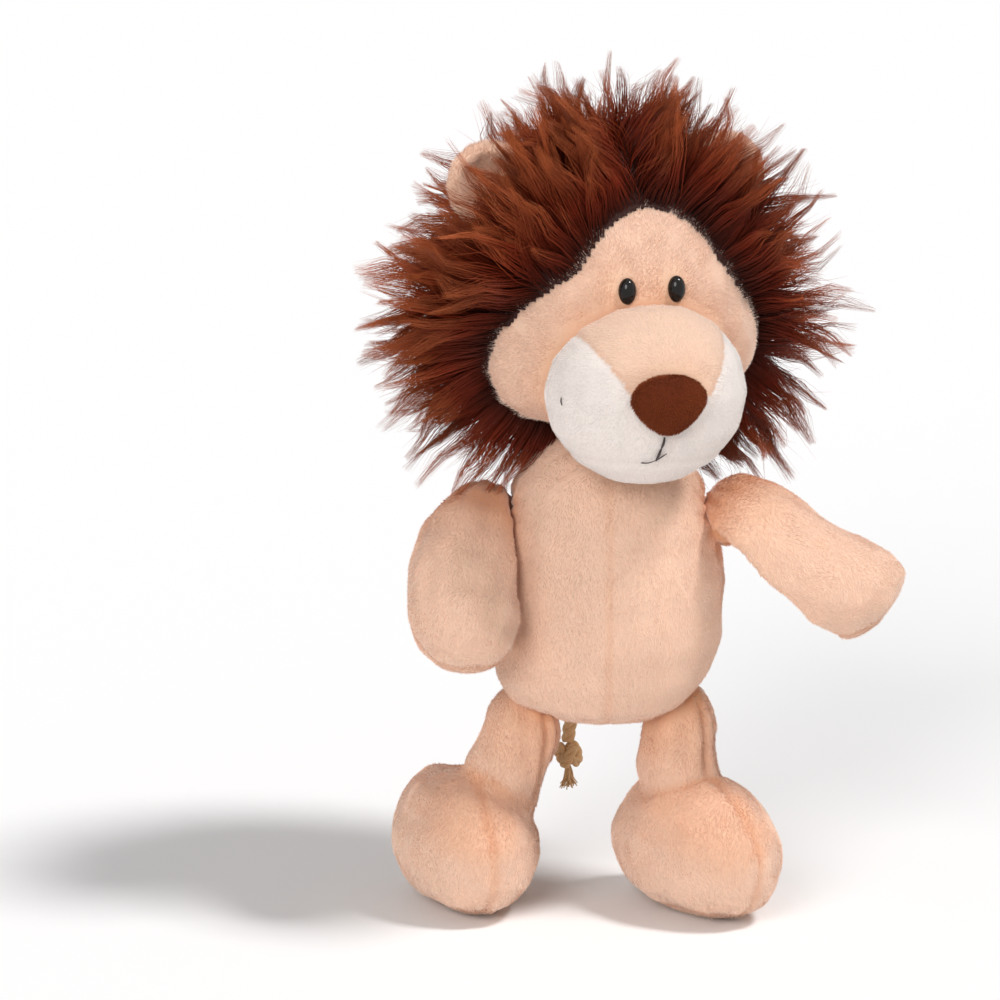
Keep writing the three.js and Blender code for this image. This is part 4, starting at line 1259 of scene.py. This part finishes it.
mouth = piece("mouth_stitches", *joined([
    stitch(((-3.2, 5.4), (-3.4, 3.8), (-3.6, 2)), 0.42 * mm, 0.2 * mm),
    stitch(((-3.6, 1.7), (-3.9, -0.1), (-4.2, -2.1)), 0.42 * mm, 0.2 * mm),
    stitch(((-4.4, -2), (-6.4, -2.8), (-8.8, -3.1)), 0.18 * mm, -0.25 * mm),
    stitch(((-3.9, -1.9), (-2.8, -1), (-1.6, 0.1)), 0.18 * mm, -0.25 * mm),
    stitch(((-28.4, 13.2), (-28.6, 14.3), (-28.4, 15.4)), 0.2 * mm, 0 * mm)]))
mouth.data.materials.append(thread_finish)
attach(mouth, "head")
print("mouth:", len(mouth.data.polygons), "faces")

# %% [markdown]
# ## Rope and thread finishes
# The tail is cotton rope the colour of jute, mottled by lighter and darker fibre. The thread that
# ties the limbs on gets the same mottling in peach, and the washers inside the head are nylon.

# %% Rope, thread and hidden plastics
def fibre_finish(name, dark, light, streak_mm, roughness=0.9):
    finish, tree, shader = new_finish(name, roughness)
    streaks = clouded(tree, shader, dark, light, 1000 / streak_mm, 4.0)
    bumpy(tree, shader, streaks, 0.0001 * streak_mm)
    return finish


rope_finish = fibre_finish("tan cotton rope", 0xBC8E5C, 0xF0D0A4, 0.5)
for thing in (tail_rope, tail_knot, tail_fray):
    thing.data.materials.append(rope_finish)
hidden_finishes = {
    "_stitching": fibre_finish("peach sewing thread", 0xB98A66, 0xE6C09E, 0.4),
    "eye_washer": fibre_finish("matt white nylon", 0xE4E1D8, 0xF5F3EC, 2.0, 0.5),
}
for name, node in frame["nodes"].items():
    for word, finish in hidden_finishes.items():
        if word in name:
            node.data.materials.clear()
            node.data.materials.append(finish)
print("rope, thread and nylon are on")

# %% [markdown]
# ## Floor and light
# The toy stands in a white studio. A soft lamp stands high to the right and throws the shadow, a
# larger one stands in front, and the white room fills the rest. Together they light a flat white
# card to just white, so a colour renders about as it is written. The floor is white too.

# %% Floor and light
bpy.ops.mesh.primitive_circle_add(vertices=96, radius=7, fill_type="NGON", location=(0, 0, 0))
floor = bpy.context.object
floor.name = "studio_floor"
floor_finish, tree, shader = new_finish("white studio floor", 0.9, 0.0)
shader.inputs["Base Color"].default_value = paint(0xF9F8F8)
floor.data.materials.append(floor_finish)

for name, energy, size, direction in (("key_lamp", 2.0, 12, (0.5, -0.17, 0.83)),
                                      ("front_lamp", 1.45, 30, (-0.34, -0.8, 0.46))):
    sun = bpy.data.objects.new(name, bpy.data.lights.new(name, "SUN"))
    sun.data.energy = energy
    sun.data.angle = math.radians(size)
    sun.rotation_euler = Vector(direction).to_track_quat("Z", "Y").to_euler()
    bpy.context.scene.collection.objects.link(sun)

world = bpy.data.worlds.new("white room")
bpy.context.scene.world = world
world.use_nodes = True
tree = world.node_tree
room_light = tree.nodes["Background"]
room_light.inputs["Color"].default_value = paint(0xFFFFFF)
room_light.inputs["Strength"].default_value = 0.31
# The camera and the glossy eyes see a full white, brighter than the light that the room gives
seen = add(tree, "ShaderNodeBackground", {"Color": paint(0xFFFFFF), "Strength": 1.0})
path = add(tree, "ShaderNodeLightPath").outputs
direct = sums(tree, "MAXIMUM", path["Is Camera Ray"], path["Is Glossy Ray"])
choice = add(tree, "ShaderNodeMixShader", {0: direct, 1: room_light.outputs[0], 2: seen.outputs[0]})
tree.links.new(choice.outputs[0], tree.nodes["World Output"].inputs["Surface"])
bpy.context.scene.view_settings.view_transform = "Standard"
print("two soft lamps and a white room")
